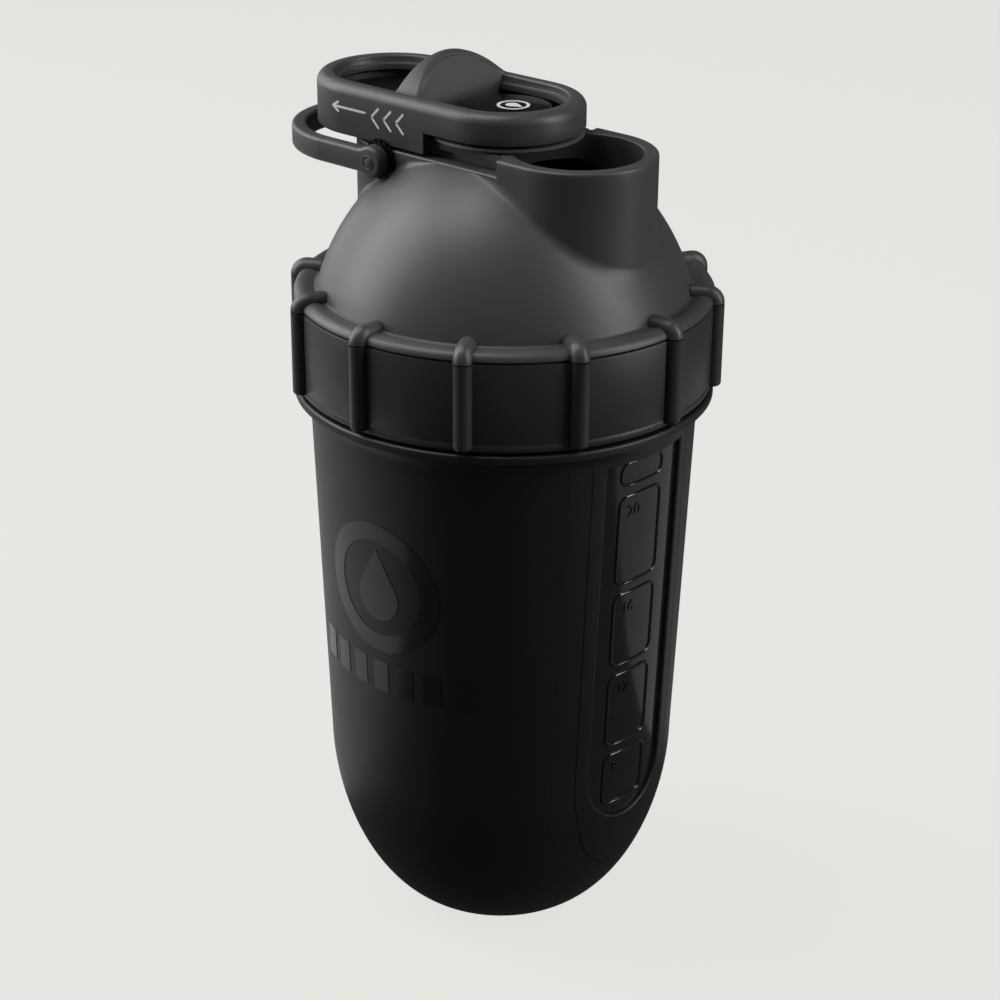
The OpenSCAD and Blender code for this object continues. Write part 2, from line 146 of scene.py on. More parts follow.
# %% [markdown]
# ## Finishes
# Each finish starts from what the real one is. Moulded polypropylene has a satin skin with a fine
# spark-eroded grain; soft-touch lacquer swallows light and shows handling as faint cloudy patches;
# copolyester is clear and hard; silicone is dull and slightly waxy. The grain of a real mould is
# about 0.05 mm, too fine to show here, so it is drawn at 0.3 to 0.5 mm. Every pattern reads Object
# coordinates, so it stays put on its piece when the piece moves.

# %% Colour and node helpers
def linear(hex_code):
    """sRGB hex to the linear colour that shaders use."""
    parts = [int(hex_code[i:i + 2], 16) / 255 for i in (1, 3, 5)]
    return tuple(c / 12.92 if c <= 0.04045 else ((c + 0.055) / 1.055) ** 2.4 for c in parts) + (1,)


def add_node(tree, kind, settings=None, links=None):
    """Adds a node; settings are properties or input values, links feed its inputs."""
    made = tree.nodes.new(kind)
    for key, value in (settings or {}).items():
        if hasattr(made, key) and not (key in made.inputs):
            setattr(made, key, value)
        else:
            made.inputs[key].default_value = value
    for key, source in (links or {}).items():
        tree.links.new(source, made.inputs[key])
    return made


def moulded(name, colour, roughness, grain_mm, grain_depth_mm, cloud=0.05, mottle=0.12,
            specular=0.5, coat=0.0, coat_roughness=0.1, ior=1.49, transmission=0.0, sheen=0.0):
    """A moulded or lacquered finish: grain as bump, cloudy roughness and a mottled colour."""
    material = bpy.data.materials.new(name)
    material.use_nodes = True
    tree = material.node_tree
    tree.nodes.clear()
    base = linear(colour)
    place = add_node(tree, "ShaderNodeTexCoord")
    centred = add_node(tree, "ShaderNodeMapping", {"Location": (0.013, 0.007, 0.021)},
                       {"Vector": place.outputs["Object"]})
    grain = add_node(tree, "ShaderNodeTexNoise",
                     {"Scale": 1000 / grain_mm, "Detail": 3.0, "Roughness": 0.6},
                     {"Vector": centred.outputs["Vector"]})
    clouds = add_node(tree, "ShaderNodeTexNoise", {"Scale": 1000 / 14, "Detail": 4.0},
                      {"Vector": centred.outputs["Vector"]})
    rough = add_node(tree, "ShaderNodeMapRange",
                     {"To Min": roughness - cloud, "To Max": roughness + cloud},
                     {"Value": clouds.outputs["Fac"]})
    lighter = tuple(min(1.0, c * (1 + mottle)) for c in base[:3]) + (1,)
    darker = tuple(c * (1 - mottle) for c in base[:3]) + (1,)
    tint = add_node(tree, "ShaderNodeMix", {"data_type": "RGBA"})
    tree.links.new(grain.outputs["Fac"], tint.inputs[0])
    tint.inputs[6].default_value = darker
    tint.inputs[7].default_value = lighter
    bump = add_node(tree, "ShaderNodeBump", {"Strength": 1.0, "Distance": grain_depth_mm * MM},
                    {"Height": grain.outputs["Fac"]})
    shader = add_node(tree, "ShaderNodeBsdfPrincipled",
                      {"IOR": ior, "Specular IOR Level": specular, "Coat Weight": coat,
                       "Coat Roughness": coat_roughness, "Transmission Weight": transmission,
                       "Sheen Weight": sheen},
                      {"Base Color": tint.outputs[2], "Roughness": rough.outputs["Result"],
                       "Normal": bump.outputs["Normal"]})
    out = add_node(tree, "ShaderNodeOutputMaterial")
    tree.links.new(shader.outputs["BSDF"], out.inputs["Surface"])
    return material


# %% The finishes
# Soft-touch lacquer on the sleeve: near black, hardly any shine, so the body reads as one shape.
soft_touch_lacquer = moulded("soft_touch_lacquer", "#131313", 0.46, 0.35, 0.006, specular=0.4)
# Spark-eroded polypropylene on the lid: a dark grey satin that shows the light as a broad glow.
satin_polypropylene = moulded("satin_polypropylene", "#3c3c3c", 0.42, 0.4, 0.008, specular=0.4)
# The grip ring comes from a second mould, a shade darker.
ring_polypropylene = moulded("ring_polypropylene", "#2b2b2b", 0.4, 0.4, 0.008, specular=0.4)
# Black polypropylene inside the cover: dark enough to lose its shape in shadow. On the sleeve the
# same finish is painted shade along the parting groove.
black_polypropylene_and_painted_shade = moulded("black_polypropylene_and_painted_shade", "#080808", 0.5, 0.4, 0.006, specular=0.12)
# Smoke-tinted copolyester: clear and hard, so the window keeps sharp glints.
smoke_copolyester = moulded("smoke_copolyester", "#262727", 0.12, 6.0, 0.01, cloud=0.03,
                            specular=0.5, ior=1.57, transmission=0.55)
# Gloss print has a light clear coat and gloss acrylic is polished: both stand out from matt black.
gloss_print = moulded("gloss_print", "#0a0a0a", 0.28, 3.0, 0.004, cloud=0.03, coat=0.15)
gloss_acrylic = moulded("gloss_acrylic", "#040404", 0.12, 4.0, 0.002, cloud=0.02, specular=0.2)
# Moulded silicone: dull, waxy and a little lighter at its edges.
moulded_silicone = moulded("moulded_silicone", "#3a3a3a", 0.6, 0.5, 0.004, specular=0.35, sheen=0.1)
# Pad-printed light grey ink: flat and chalky.
pad_print_grey = moulded("pad_print_grey", "#c4c4c2", 0.5, 0.3, 0.004, specular=0.3)
print("finishes:", len(bpy.data.materials))

# %% [markdown]
# ## Sizes shared by the pieces
# The bottle's body is a superellipse base under a straight taper. Several pieces lie on it, so its
# radius at a height is one function, and a point on it is named by how far round from the middle
# of the window it is, as a chord, by its height, and by how deep it lies under the surface.

# %% The body's surface
BODY_R, LOW_R, FOOT_R, BASE_H, TAPER_TOP, BODY_H = 47.1, 43.8, 16.2, 48.7, 138.0, 144.0
FLANGE_R, SLEEVE_WALL = 50.9, 1.8
WINDOW_HALF, WINDOW_FOOT_Z, WINDOW_TOP = 13.6, 51.1, 137.0
WINDOW_TURN = math.radians(-2.4)
LIP = 0.5


def body_radius(z):
    if z >= BASE_H:
        return LOW_R + (BODY_R - LOW_R) * (z - BASE_H) / (TAPER_TOP - BASE_H)
    rise = 1 - (1 - max(z, 0) / BASE_H) ** 1.86
    return FOOT_R + (LOW_R - FOOT_R) * rise ** (1 / 1.86)


def on_body(chord, z, depth=0.0):
    """A point beside the window: chord from its middle, height, and depth under the surface."""
    angle = WINDOW_TURN + math.asin(chord / max(body_radius(z), body_radius(30)))
    r = body_radius(z) - depth
    return r * math.cos(angle), r * math.sin(angle), z


print("radius at the taper's top:", body_radius(TAPER_TOP), "at 60 mm:", round(body_radius(60), 2))

# %% [markdown]
# ## The sleeve
# The outer sleeve is a two-wall shell with a sight window cut through it. A boolean cut would leave
# ragged shading round the hole, so the shell is laid out as rows of points whose lines run along
# the window's own outline. A thin lip then rounds the edge from the outer wall in to the inner one.

# %% Sleeve
WINDOW_COLS, BACK_COLS, LOW_ROWS, SIDE_ROWS = 44, 132, 34, 40


def window_foot(share, half):
    """Height of the window's round foot at a share -1 to 1 across it."""
    return WINDOW_FOOT_Z - half * math.sqrt(max(0.0, 1 - share * share))


def sleeve_row(half, height_of, depth, columns=BACK_COLS):
    """One row round the sleeve: chords across the window, then even steps round the back."""
    row = []
    for i in range(WINDOW_COLS + 1):
        share = math.sin(math.pi * (i / WINDOW_COLS - 0.5))
        row.append(on_body(half * share, height_of(share), depth))
    z = height_of(1.0)
    edge = math.asin(half / max(body_radius(z), body_radius(30)))
    for i in range(1, columns):
        angle = WINDOW_TURN + edge + (2 * math.pi - 2 * edge) * i / columns
        r = body_radius(z) - depth
        row.append((r * math.cos(angle), r * math.sin(angle), z))
    return row


def sleeve_wall_rows(half, depth, top):
    """Rows from the foot up to the top of the window, for the outer or the inner wall."""
    rows = []
    for k in range(LOW_ROWS + 1):
        rise = 1 - math.cos(math.pi / 2 * k / LOW_ROWS)
        rows.append(sleeve_row(half, lambda s: window_foot(s, half) * rise, depth))
        if depth:
            rows[-1] = [(x, y, z + depth * (1 - rise)) for x, y, z in rows[-1]]
    for k in range(1, SIDE_ROWS + 1):
        share = k / SIDE_ROWS
        rows.append(sleeve_row(half, lambda s: window_foot(s, half)
                               + (WINDOW_TOP - window_foot(s, half)) * share if k < SIDE_ROWS
                               else top, depth))
    return rows


def ring_row(row, radius, z):
    """A row pushed out to a plain circle at a height, keeping each point's angle."""
    out = []
    for x, y, _ in row:
        angle = math.atan2(y, x)
        out.append((radius * math.cos(angle), radius * math.sin(angle), z))
    return out


outer = sleeve_wall_rows(WINDOW_HALF, 0.0, WINDOW_TOP)
inner = sleeve_wall_rows(WINDOW_HALF - LIP, SLEEVE_WALL, WINDOW_TOP - LIP)
COVE_OUT, COVE_UP = 3.3, 3.6
cove = [(BODY_R + COVE_OUT * (1 - math.cos(a)), TAPER_TOP + COVE_UP * math.sin(a))
        for a in map(math.radians, range(0, 91, 10))]
rim = ([(FLANGE_R, 142.0)] + arc(FLANGE_R - 0.7, 143.3, 0.7, 0, 90, 5)
       + [(45.9, BODY_H), (45.3, BODY_H - 0.5), (45.3, TAPER_TOP)])
foot = [(FOOT_R - 1.2, 0.0), (FOOT_R - 3.0, 0.5), (6.0, 0.7), (0.0, 0.7)]
inner_foot = [(8.0, SLEEVE_WALL), (0.0, SLEEVE_WALL)]
rows = ([ring_row(outer[0], r, z) for r, z in reversed(foot)] + outer
        + [ring_row(outer[-1], r, z) for r, z in cove + rim] + list(reversed(inner))
        + [ring_row(inner[0], r, z) for r, z in inner_foot])
cols = len(rows[0])
first_side = len(foot) + LOW_ROWS
outer_side = range(first_side, first_side + SIDE_ROWS)
inner_start = len(foot) + len(outer) + len(cove) + len(rim)
inner_side = range(inner_start, inner_start + SIDE_ROWS)
shell = ([p for row in rows for p in row],
         grid_faces(len(rows), cols,
                    skip=lambda r, c: c < WINDOW_COLS and (r in outer_side or r in inner_side)))


def window_outline(half, top):
    """The window's outline as (chord, height), round its foot, up one side, across and down."""
    wave = [math.pi * (i / WINDOW_COLS - 0.5) for i in range(WINDOW_COLS + 1)]
    levels = [WINDOW_FOOT_Z + (WINDOW_TOP - WINDOW_FOOT_Z) * k / SIDE_ROWS
              for k in range(1, SIDE_ROWS)]
    outline = [(half * math.sin(a), WINDOW_FOOT_Z - half * math.cos(a)) for a in wave]
    outline += [(half, z) for z in levels]
    outline += [(half * math.sin(a), top) for a in reversed(wave)]
    return outline + [(-half, z) for z in reversed(levels)]


lip_shape = [(0, 0), (0.1, 0.01), (0.34, 0.07), (0.62, 0.2), (0.84, 0.42), (0.96, 0.75), (1, 1.2),
             (1, SLEEVE_WALL)]
edge_out = window_outline(WINDOW_HALF, WINDOW_TOP)
edge_in = window_outline(WINDOW_HALF - LIP, WINDOW_TOP - LIP)
lip_points = [on_body(a[0] + (b[0] - a[0]) * f, a[1] + (b[1] - a[1]) * f, depth)
              for f, depth in lip_shape for a, b in zip(edge_out, edge_in)]
lip = (lip_points, grid_faces(len(lip_shape), len(edge_out)))
make_piece("sleeve", join_parts(shell, lip), "bottle", soft_touch_lacquer,
           ["outer_sleeve"], sharp=38)

# %% [markdown]
# ## Parting lines
# A moulded sleeve shows where its mould closed: one fine groove follows the window's outline a few
# millimetres outside it, and a fainter raised line runs beside it. Both are ribbons that follow the
# body's surface, because a line this fine would need a far denser shell. The groove is not cut: it
# is a barely raised strip in near-black, so its dark line is painted shade.

# %% Parting lines
def ribbon(path, width, lift, deep=0.05):
    """A low rounded strip along (chord, height) points on the body."""
    shape = [(-0.5, -deep), (-0.4, lift * 0.7), (0, lift), (0.4, lift * 0.7), (0.5, -deep)]
    rows = []
    for i, (c, z) in enumerate(path):
        a, b = path[max(i - 1, 0)], path[min(i + 1, len(path) - 1)]
        dc, dz = b[0] - a[0], b[1] - a[1]
        size = math.hypot(dc, dz)
        nc, nz = dz / size, -dc / size
        rows.append([on_body(c + nc * o * width, z + nz * o * width, -up) for o, up in shape])
    n = len(shape)
    faces = grid_faces(len(rows), n)
    faces += [tuple(range(n))[::-1], tuple((len(rows) - 1) * n + i for i in range(n))]
    return [p for row in rows for p in row], faces


def outline_line(half, foot_centre, top):
    """Half of a larger outline round the window: down the side and in under the foot."""
    side = [(-half, top - (top - foot_centre) * i / 50) for i in range(51)]
    turn = [math.radians(a) for a in range(4, 88, 3)]
    return side + [(-half * math.cos(a), foot_centre - 30 * math.sin(a)) for a in turn]


# The groove's dark line is painted shade: a barely raised near-black strip stands where a cut groove
# would fall dark.
groove = ribbon(outline_line(16.9, 52.0, TAPER_TOP - 0.2), 0.34, 0.02)
far_groove = ribbon([(-c, z) for c, z in outline_line(16.9, 52.0, TAPER_TOP - 0.2)], 0.34, 0.02)
ridge = ribbon([(-22.2, 137.5 - 1.8 * i) for i in range(56)], 0.5, 0.035)
make_piece("parting_line_painted_shade", join_parts(groove, far_groove), "bottle",
           black_polypropylene_and_painted_shade)
make_piece("parting_ridge", ridge, "bottle", soft_touch_lacquer)

# %% [markdown]
# ## The sight window
# Behind the lip lies a curved pane of smoke-tinted copolyester, with the vessel behind it. It is a
# thin closed plate, laid out on the same outline so that it meets the lip all round.

# %% Pane
PANE_DEPTH = 1.1
pane_half, pane_top, pane_rows, pane_cols = WINDOW_HALF - 0.4, WINDOW_TOP - 0.4, 48, 33
pane_front, pane_back = [], []
for k in range(pane_rows):
    for i in range(pane_cols):
        share = math.sin(math.pi * (i / (pane_cols - 1) - 0.5))
        low = window_foot(share, pane_half)
        z = low + (pane_top - low) * k / (pane_rows - 1)
        pane_front.append(on_body(pane_half * share, z, PANE_DEPTH))
        pane_back.append(on_body(pane_half * share, z, SLEEVE_WALL - 0.05))
make_piece("window_pane", slab(pane_front, pane_back, pane_rows, pane_cols), "bottle",
           smoke_copolyester, ["sight_window"])

# %% [markdown]
# ## Level fields
# Raised frames on the pane mark the levels, each a rounded rectangle with a number near its top.
# A frame is a half-round bead swept along a path. The fields differ in height because the bottle
# narrows, so each one is swept on its own rather than copied.

# %% Level frames
FIELD_MIDDLE, FIELD_HALF = -1.2, 7.2
FIELDS = [(42.5, 56.8), (59.6, 79.4), (82.2, 101.6), (104.4, 127.6), (130.4, 136.2)]


def bead_loop(path, width, height, depth):
    """A closed bead along (chord, height) points on the pane."""
    shape = [(-0.5, -0.05), (-0.42, height * 0.55), (-0.2, height * 0.92), (0, height),
             (0.2, height * 0.92), (0.42, height * 0.55), (0.5, -0.05)]
    rows = []
    for i, (c, z) in enumerate(path):
        a, b = path[i - 1], path[(i + 1) % len(path)]
        dc, dz = b[0] - a[0], b[1] - a[1]
        size = math.hypot(dc, dz)
        nc, nz = dz / size, -dc / size
        rows.append([on_body(c + nc * o * width, z + nz * o * width, depth - up)
                     for o, up in shape])
    return [p for row in rows for p in row], grid_faces(len(rows), len(shape), wrap_rows=True)


def rounded_box(c1, c2, z1, z2, corner, steps=6, side=9):
    """A rounded rectangle as a list of points, anticlockwise."""
    path = []
    for cx, cz, start in ((c2 - corner, z1 + corner, -90), (c2 - corner, z2 - corner, 0),
                          (c1 + corner, z2 - corner, 90), (c1 + corner, z1 + corner, 180)):
        path += arc(cx, cz, corner, start, start + 90, steps)
    full = []
    for i, p in enumerate(path):
        q = path[(i + 1) % len(path)]
        full.append(p)
        if math.hypot(q[0] - p[0], q[1] - p[1]) > 2:
            full += [(p[0] + (q[0] - p[0]) * k / side, p[1] + (q[1] - p[1]) * k / side)
                     for k in range(1, side)]
    return full


frames = [bead_loop(rounded_box(FIELD_MIDDLE - FIELD_HALF, FIELD_MIDDLE + FIELD_HALF, low, high,
                                min(2.6, (high - low) / 2.3)), 0.85, 0.42, PANE_DEPTH)
          for low, high in FIELDS]
make_piece("level_frames", join_parts(*frames), "bottle", smoke_copolyester,
           ["level_fields"], sharp=60)


# %% Level numbers
def curved_text(words, size, thickness, chord, z, depth):
    """Plain numbers as a mesh, laid on the pane from their left end."""
    curve = bpy.data.curves.new("number_curve", "FONT")
    curve.body = words
    curve.size = size * MM
    curve.extrude = thickness * MM / 2
    holder = bpy.data.objects.new("number_holder", curve)
    bpy.context.scene.collection.objects.link(holder)
    graph = bpy.context.evaluated_depsgraph_get()
    mesh = bpy.data.meshes.new_from_object(holder.evaluated_get(graph))
    points = [on_body(chord + v.co.x / MM, z + v.co.y / MM, depth - v.co.z / MM)
              for v in mesh.vertices]
    faces = [tuple(p.vertices) for p in mesh.polygons]
    bpy.data.objects.remove(holder)
    bpy.data.meshes.remove(mesh)
    bpy.data.curves.remove(curve)
    return points, faces


numbers = [curved_text(text, 4.2, 0.3, FIELD_MIDDLE - 4.6, high - 5.4, PANE_DEPTH - 0.1)
           for (low, high), text in zip(FIELDS[:4], ("8", "12", "16", "20"))]
make_piece("level_numbers", join_parts(*numbers), "bottle", smoke_copolyester,
           sharp=30)


# %% [markdown]
# ## The front mark
# A gloss print on the matt sleeve: here a plain ring with a drop in it, over a row of bars. Each
# shape is a thin plate that follows the body's curve, because a flat decal would lift at its sides.

# %% Front mark
def on_front(x, z, lift):
    """A point on the marked front, x to the right as one faces it."""
    r = body_radius(z) + lift
    return x, -math.sqrt(r * r - x * x), z


def printed(shape_rows, ring=False):
    """A thin closed print from rows of (x, z)."""
    cols = len(shape_rows[0])
    top = [on_front(x, z, 0.1) for row in shape_rows for x, z in row]
    low = [on_front(x, z, -0.08) for row in shape_rows for x, z in row]
    return slab(top, low, len(shape_rows), cols, ring)


MARK_Z, RING_OUT, RING_IN, DROP_R, DROP_LOW = 103, 17, 12.4, 6.2, 2.4
tip = DROP_R * 1.7 + DROP_LOW
half_turn = math.acos(DROP_R / tip)
round_steps = [2 * math.pi * i / 96 for i in range(96)]
HUB = 0.02
ring_rows = [[(r * math.sin(a), MARK_Z + r * math.cos(a)) for a in round_steps]
             for r in np.linspace(RING_IN, RING_OUT, 6)]
drop_rows = []
for share in np.linspace(HUB, 1.0, 6):
    row = []
    for a in round_steps:
        off = abs((a + math.pi) % (2 * math.pi) - math.pi)
        reach = DROP_R / math.cos(half_turn - off) if off < half_turn else DROP_R
        row.append((share * reach * math.sin(a), MARK_Z - DROP_LOW + share * reach * math.cos(a)))
    drop_rows.append(row)
bars = [printed([[(7.2 * i + 2.3 * u, 79 + 4.2 * v) for u in np.linspace(-1, 1, 5)]
                 for v in np.linspace(-1, 1, 5)]) for i in range(-3, 4)]
mark = join_parts(printed(ring_rows, True), printed(drop_rows, True), *bars)
make_piece("front_mark", mark, "bottle", gloss_print, ["front_emblem"])

# %% [markdown]
# ## The lid
# The lid is one moulding: a threaded skirt, a convex shoulder, an ellipsoid dome, a deck along its
# top and a round spout, all joined by soft fillets. A boolean union would leave hard, ragged
# joins, so the whole lid is one net of rows. Its columns follow the deck's round-ended outline, and
# each column runs down the deck's wall, through a fillet, and out over the dome as a meridian.

# %% Lid sizes
DECK_Z, RIM_Z, SPOUT_R, BORE_R, SPOUT_X, PIN_X = 200.6, 204.4, 18.5, 15.1, 21.7, -22.7
DOME_A, DOME_B, DOME_MID, DOME_WALL, CREASE_Z = 47.37, 53.5, 151.1, 2.4, 167.8
PARTING_Z, SEAT_Z, COLLAR_R, RING_IN_R, SKIRT_R = 166.2, 165.5, 50.5, 48.2, 46.6
ARC_STEPS, SIDE_STEPS = 48, 40


def dome_height(x, y, inset=0.0):
    """Height of the dome above a point of the plan, drawn in by a distance."""
    share = min(1.0, math.hypot(x, y) / (DOME_A - inset))
    return DOME_MID + (DOME_B - inset) * math.sqrt(1 - share * share)


# The sides rise to the spout's rim as far back as STEP_X, and the step down to the deck is STEP_GAP
# long. Columns up to SPREAD behind the spout's middle run straight across to its bore; those
# further back share out the rest of it.
STEP_X, STEP_GAP, SPREAD = 13.0, 0.03, 12.0


def deck_outline():
    """Points, outward normals and whether each rises to the spout's rim, round the deck from -Y."""
    side = [(SPOUT_X + (STEP_X - SPOUT_X) * i / 6, True) for i in range(1, 7)]
    side += [(STEP_X - STEP_GAP + (PIN_X - STEP_X + STEP_GAP) * i / SIDE_STEPS, False)
             for i in range(SIDE_STEPS)]
    out = []
    for i in range(ARC_STEPS + 1):
        a = math.radians(-90 + 180 * i / ARC_STEPS)
        out.append((SPOUT_X + SPOUT_R * math.cos(a), SPOUT_R * math.sin(a),
                    math.cos(a), math.sin(a), True))
    out += [(x, SPOUT_R, 0.0, 1.0, tall) for x, tall in side]
    for i in range(ARC_STEPS + 1):
        a = math.radians(90 + 180 * i / ARC_STEPS)
        out.append((PIN_X + SPOUT_R * math.cos(a), SPOUT_R * math.sin(a),
                    math.cos(a), math.sin(a), False))
    out += [(x, -SPOUT_R, 0.0, -1.0, tall) for x, tall in reversed(side)]
    return out


def bore_angles(points):
    """The angle round the bore that each column runs to: straight across near the spout."""
    near = [SPOUT_X - x <= SPREAD for x, *_ in points]
    far = [i for i, is_near in enumerate(near) if not is_near]
    limit = math.asin(SPREAD / SPOUT_R)
    angles = []
    for i, (x, y, *_) in enumerate(points):
        if i <= ARC_STEPS:
            angles.append(math.radians(-90 + 180 * i / ARC_STEPS))
        elif near[i]:
            off = math.pi / 2 + math.asin((SPOUT_X - x) / SPOUT_R)
            angles.append(off if y > 0 else 2 * math.pi - off)
        else:
            share = (far.index(i) + 1) / (len(far) + 1)
            angles.append(math.pi / 2 + limit + (math.pi - 2 * limit) * share)
    return angles


outline = deck_outline()
bore_turn = bore_angles(outline)
print("lid columns:", len(outline))


# %% One column of the lid
def fillet_size(x, y, on_side):
    """Fillets shrink where the dome comes up to the deck, and beside the handle's pins."""
    size = min(1.4, max(0.12, 0.5 * (DECK_Z - dome_height(x, y))))
    if on_side:
        near = max(0.0, 1 - abs(x - PIN_X) / 9)
        size *= 1 - 0.8 * near
    return size


def wall_and_fillet(x, y, nx, ny, spout):
    """From the dome up through the fillet and wall to the deck's edge, unrounded under the spout."""
    f = fillet_size(x, y, abs(nx) < 0.2)
    px, py = x + f * nx, y + f * ny
    z1 = dome_height(px, py)
    slope = (dome_height(px - 0.05 * nx, py - 0.05 * ny) - z1) / 0.05
    corner_z = z1 + slope * f
    top_z = min(corner_z + 1.1 * f, DECK_Z - 0.55)
    points = []
    for i in range(9):
        t = i / 8
        away = (1 - t) ** 2 * f
        z = (1 - t) ** 2 * z1 + 2 * t * (1 - t) * corner_z + t * t * top_z
        points.append((x + away * nx, y + away * ny, z))
    turn = [math.radians(a) for a in (0, 22, 45, 68, 90)]
    for a in turn:
        inset = 0.0 if spout else 0.5 * (1 - math.cos(a))
        points.append((x - inset * nx, y - inset * ny, DECK_Z - 0.5 + 0.5 * math.sin(a)))
    return (px, py, z1), points


def lid_column(index, x, y, nx, ny, spout):
    """All the rows of one column, from the bore's foot inside to the bore's foot again."""
    (px, py, pz), wall = wall_and_fillet(x, y, nx, ny, spout)
    azimuth = math.atan2(py, px)
    ca, sa = math.cos(azimuth), math.sin(azimuth)
    ct, st = math.cos(bore_turn[index]), math.sin(bore_turn[index])
    foot_x, foot_y = SPOUT_X + BORE_R * ct, BORE_R * st
    foot_z = min(dome_height(foot_x, foot_y, DOME_WALL), DECK_Z - DOME_WALL)
    column = []
    for i in range(15):
        f = i / 14
        ix, iy = foot_x + (43.0 * ca - foot_x) * f, foot_y + (43.0 * sa - foot_y) * f
        column.append((ix, iy, min(dome_height(ix, iy, DOME_WALL), DECK_Z - DOME_WALL)))
    for r, z in [(43.0, SEAT_Z + 0.4), (43.3, SEAT_Z), (SKIRT_R, SEAT_Z), (SKIRT_R, 145.6),
                 (SKIRT_R + 0.5, 145.0), (RING_IN_R - 0.4, 145.0), (RING_IN_R - 0.1, 145.4),
                 (RING_IN_R - 0.1, PARTING_Z + 0.08), (COLLAR_R - 0.45, PARTING_Z + 0.08),
                 (COLLAR_R - 0.1, PARTING_Z + 0.22), (COLLAR_R, PARTING_Z + 0.45),
                 (COLLAR_R - 0.1, PARTING_Z + 0.95), (COLLAR_R - 0.42, PARTING_Z + 1.5),
                 (COLLAR_R - 0.95, PARTING_Z + 1.95), (COLLAR_R - 1.65, PARTING_Z + 2.25),
                 (COLLAR_R - 2.5, PARTING_Z + 2.36), (COLLAR_R - 3.4, PARTING_Z + 2.25),
                 (COLLAR_R - 4.3, PARTING_Z + 1.98), (COLLAR_R - 5.0, PARTING_Z + 1.85)]:
        column.append((r * ca, r * sa, z))
    e0 = math.asin((CREASE_Z + 0.55 - DOME_MID) / DOME_B)
    e1 = math.asin((pz - DOME_MID) / DOME_B)
    for i in range(24):
        e = e0 + (e1 - e0) * i / 24
        column.append((DOME_A * math.cos(e) * ca, DOME_A * math.cos(e) * sa,
                       DOME_MID + DOME_B * math.sin(e)))
    column += wall
    rise = [(SPOUT_R, DECK_Z), (SPOUT_R, DECK_Z + 1.2), (SPOUT_R, RIM_Z - 0.7)]
    rise += arc(SPOUT_R - 0.7, RIM_Z - 0.7, 0.7, 15, 90, 5)
    if spout:
        column += [(x - (SPOUT_R - r) * nx, y - (SPOUT_R - r) * ny, z) for r, z in rise]
    else:
        column += [(SPOUT_X + r * ct, r * st, z) for r, z in rise]
    mouth = arc(BORE_R + 0.6, RIM_Z - 0.6, 0.6, 90, 180, 5) + [(BORE_R, RIM_Z - 2.5)]
    column += [(SPOUT_X + r * ct, r * st, z) for r, z in mouth]
    low = max(foot_z, 180.0)
    column += [(foot_x, foot_y, RIM_Z - 2.5 - (RIM_Z - 2.5 - low) * i / 4) for i in (1, 2, 3)]
    return column


columns = [lid_column(i, *entry) for i, entry in enumerate(outline)]
lid_rows, lid_cols = len(columns[0]), len(columns)
net = [columns[c][r] for r in range(lid_rows) for c in range(lid_cols)]
lid_net = (net, grid_faces(lid_rows, lid_cols, wrap_rows=True))


# %% [markdown]
# ## The rail on the deck
# The cover slides on a rail that stands on the deck: a narrow stem under a wider head, so that two
# clips can hook under it. It runs up to the spout and is cut off round behind. Each storey is a
# plate with softened edges, made from its outline by the same kind of rows.

# %% Rail
def plate_rows(shape, z1, z2, edge=0.35):
    """A closed plate with rounded edges from an outline of (x, y, nx, ny)."""
    steps = arc(0, z1 + edge, edge, -90, 0, 4) + arc(0, z2 - edge, edge, 0, 90, 4)
    rows = [[(x + (out - edge) * nx, y + (out - edge) * ny, z) for x, y, nx, ny in shape]
            for out, z in steps]
    n = len(shape)
    faces = grid_faces(len(rows), n)
    faces += [tuple(range(n))[::-1], tuple((len(rows) - 1) * n + i for i in range(n))]
    return [p for row in rows for p in row], faces


def rail_outline(rear_x, half, gap=0.05):
    """Round behind, straight along, and hollowed to fit the spout's wall in front."""
    shape = [(rear_x + half * math.cos(a), half * math.sin(a), math.cos(a), math.sin(a))
             for a in np.radians(np.linspace(90, 270, 33))]
    reach = SPOUT_R - gap
    stop = math.asin(half / reach)
    bend = [math.pi + stop - 2 * stop * i / 24 for i in range(25)]
    shape += [(SPOUT_X + reach * math.cos(a), reach * math.sin(a), -math.cos(a), -math.sin(a))
              for a in bend]
    return shape


rail_parts = [plate_rows(rail_outline(-13.9, 15.8), RIM_Z - 1.8, RIM_Z - 0.02, 0.3),
              plate_rows(rail_outline(-13.9, 13.8), DECK_Z - 0.05, RIM_Z - 1.75, 0.2)]
make_piece("lid_shell", join_parts(lid_net), "lid", satin_polypropylene,
           ["lid_dome"], sharp=34)
make_piece("guide_rail", join_parts(*rail_parts), "lid", satin_polypropylene)

# %% [markdown]
# ## The grip ring
# A second moulding snaps round the skirt. It is a plain turned band with a fine chamfer at its top,
# which with the shoulder's edge leaves the dark parting line, and a stepped foot.

# %% Grip ring
ring_profile = [(RING_IN_R, 144.9), (RING_IN_R + 0.3, 144.6), (49.7, 144.6), (50.2, 144.75),
                (50.45, 145.1), (50.5, 145.6), (50.5, 146.4), (50.38, 146.6), (50.38, 146.75),
                (COLLAR_R, 147.0), (COLLAR_R, 156.0), (COLLAR_R, 165.6), (50.4, 165.9),
                (50.1, 166.05), (RING_IN_R, 166.05), (RING_IN_R, 156.0)]
make_piece("grip_band", lathe(ring_profile, 256, closed=True), "lid",
           ring_polypropylene, ["grip_ring"])

# %% [markdown]
# ## Grip ribs, by Geometry Nodes
# Twelve half-round ribs stand on the ring and carry on over the shoulder, where each bends inwards
# and ends round on the dome. A repeat like this suits Geometry Nodes: one path is given a round
# section, and its copies are set on the points of a circle, each turned to face outwards. The same
# tree makes the straight ribs and the bent ones from different inputs.

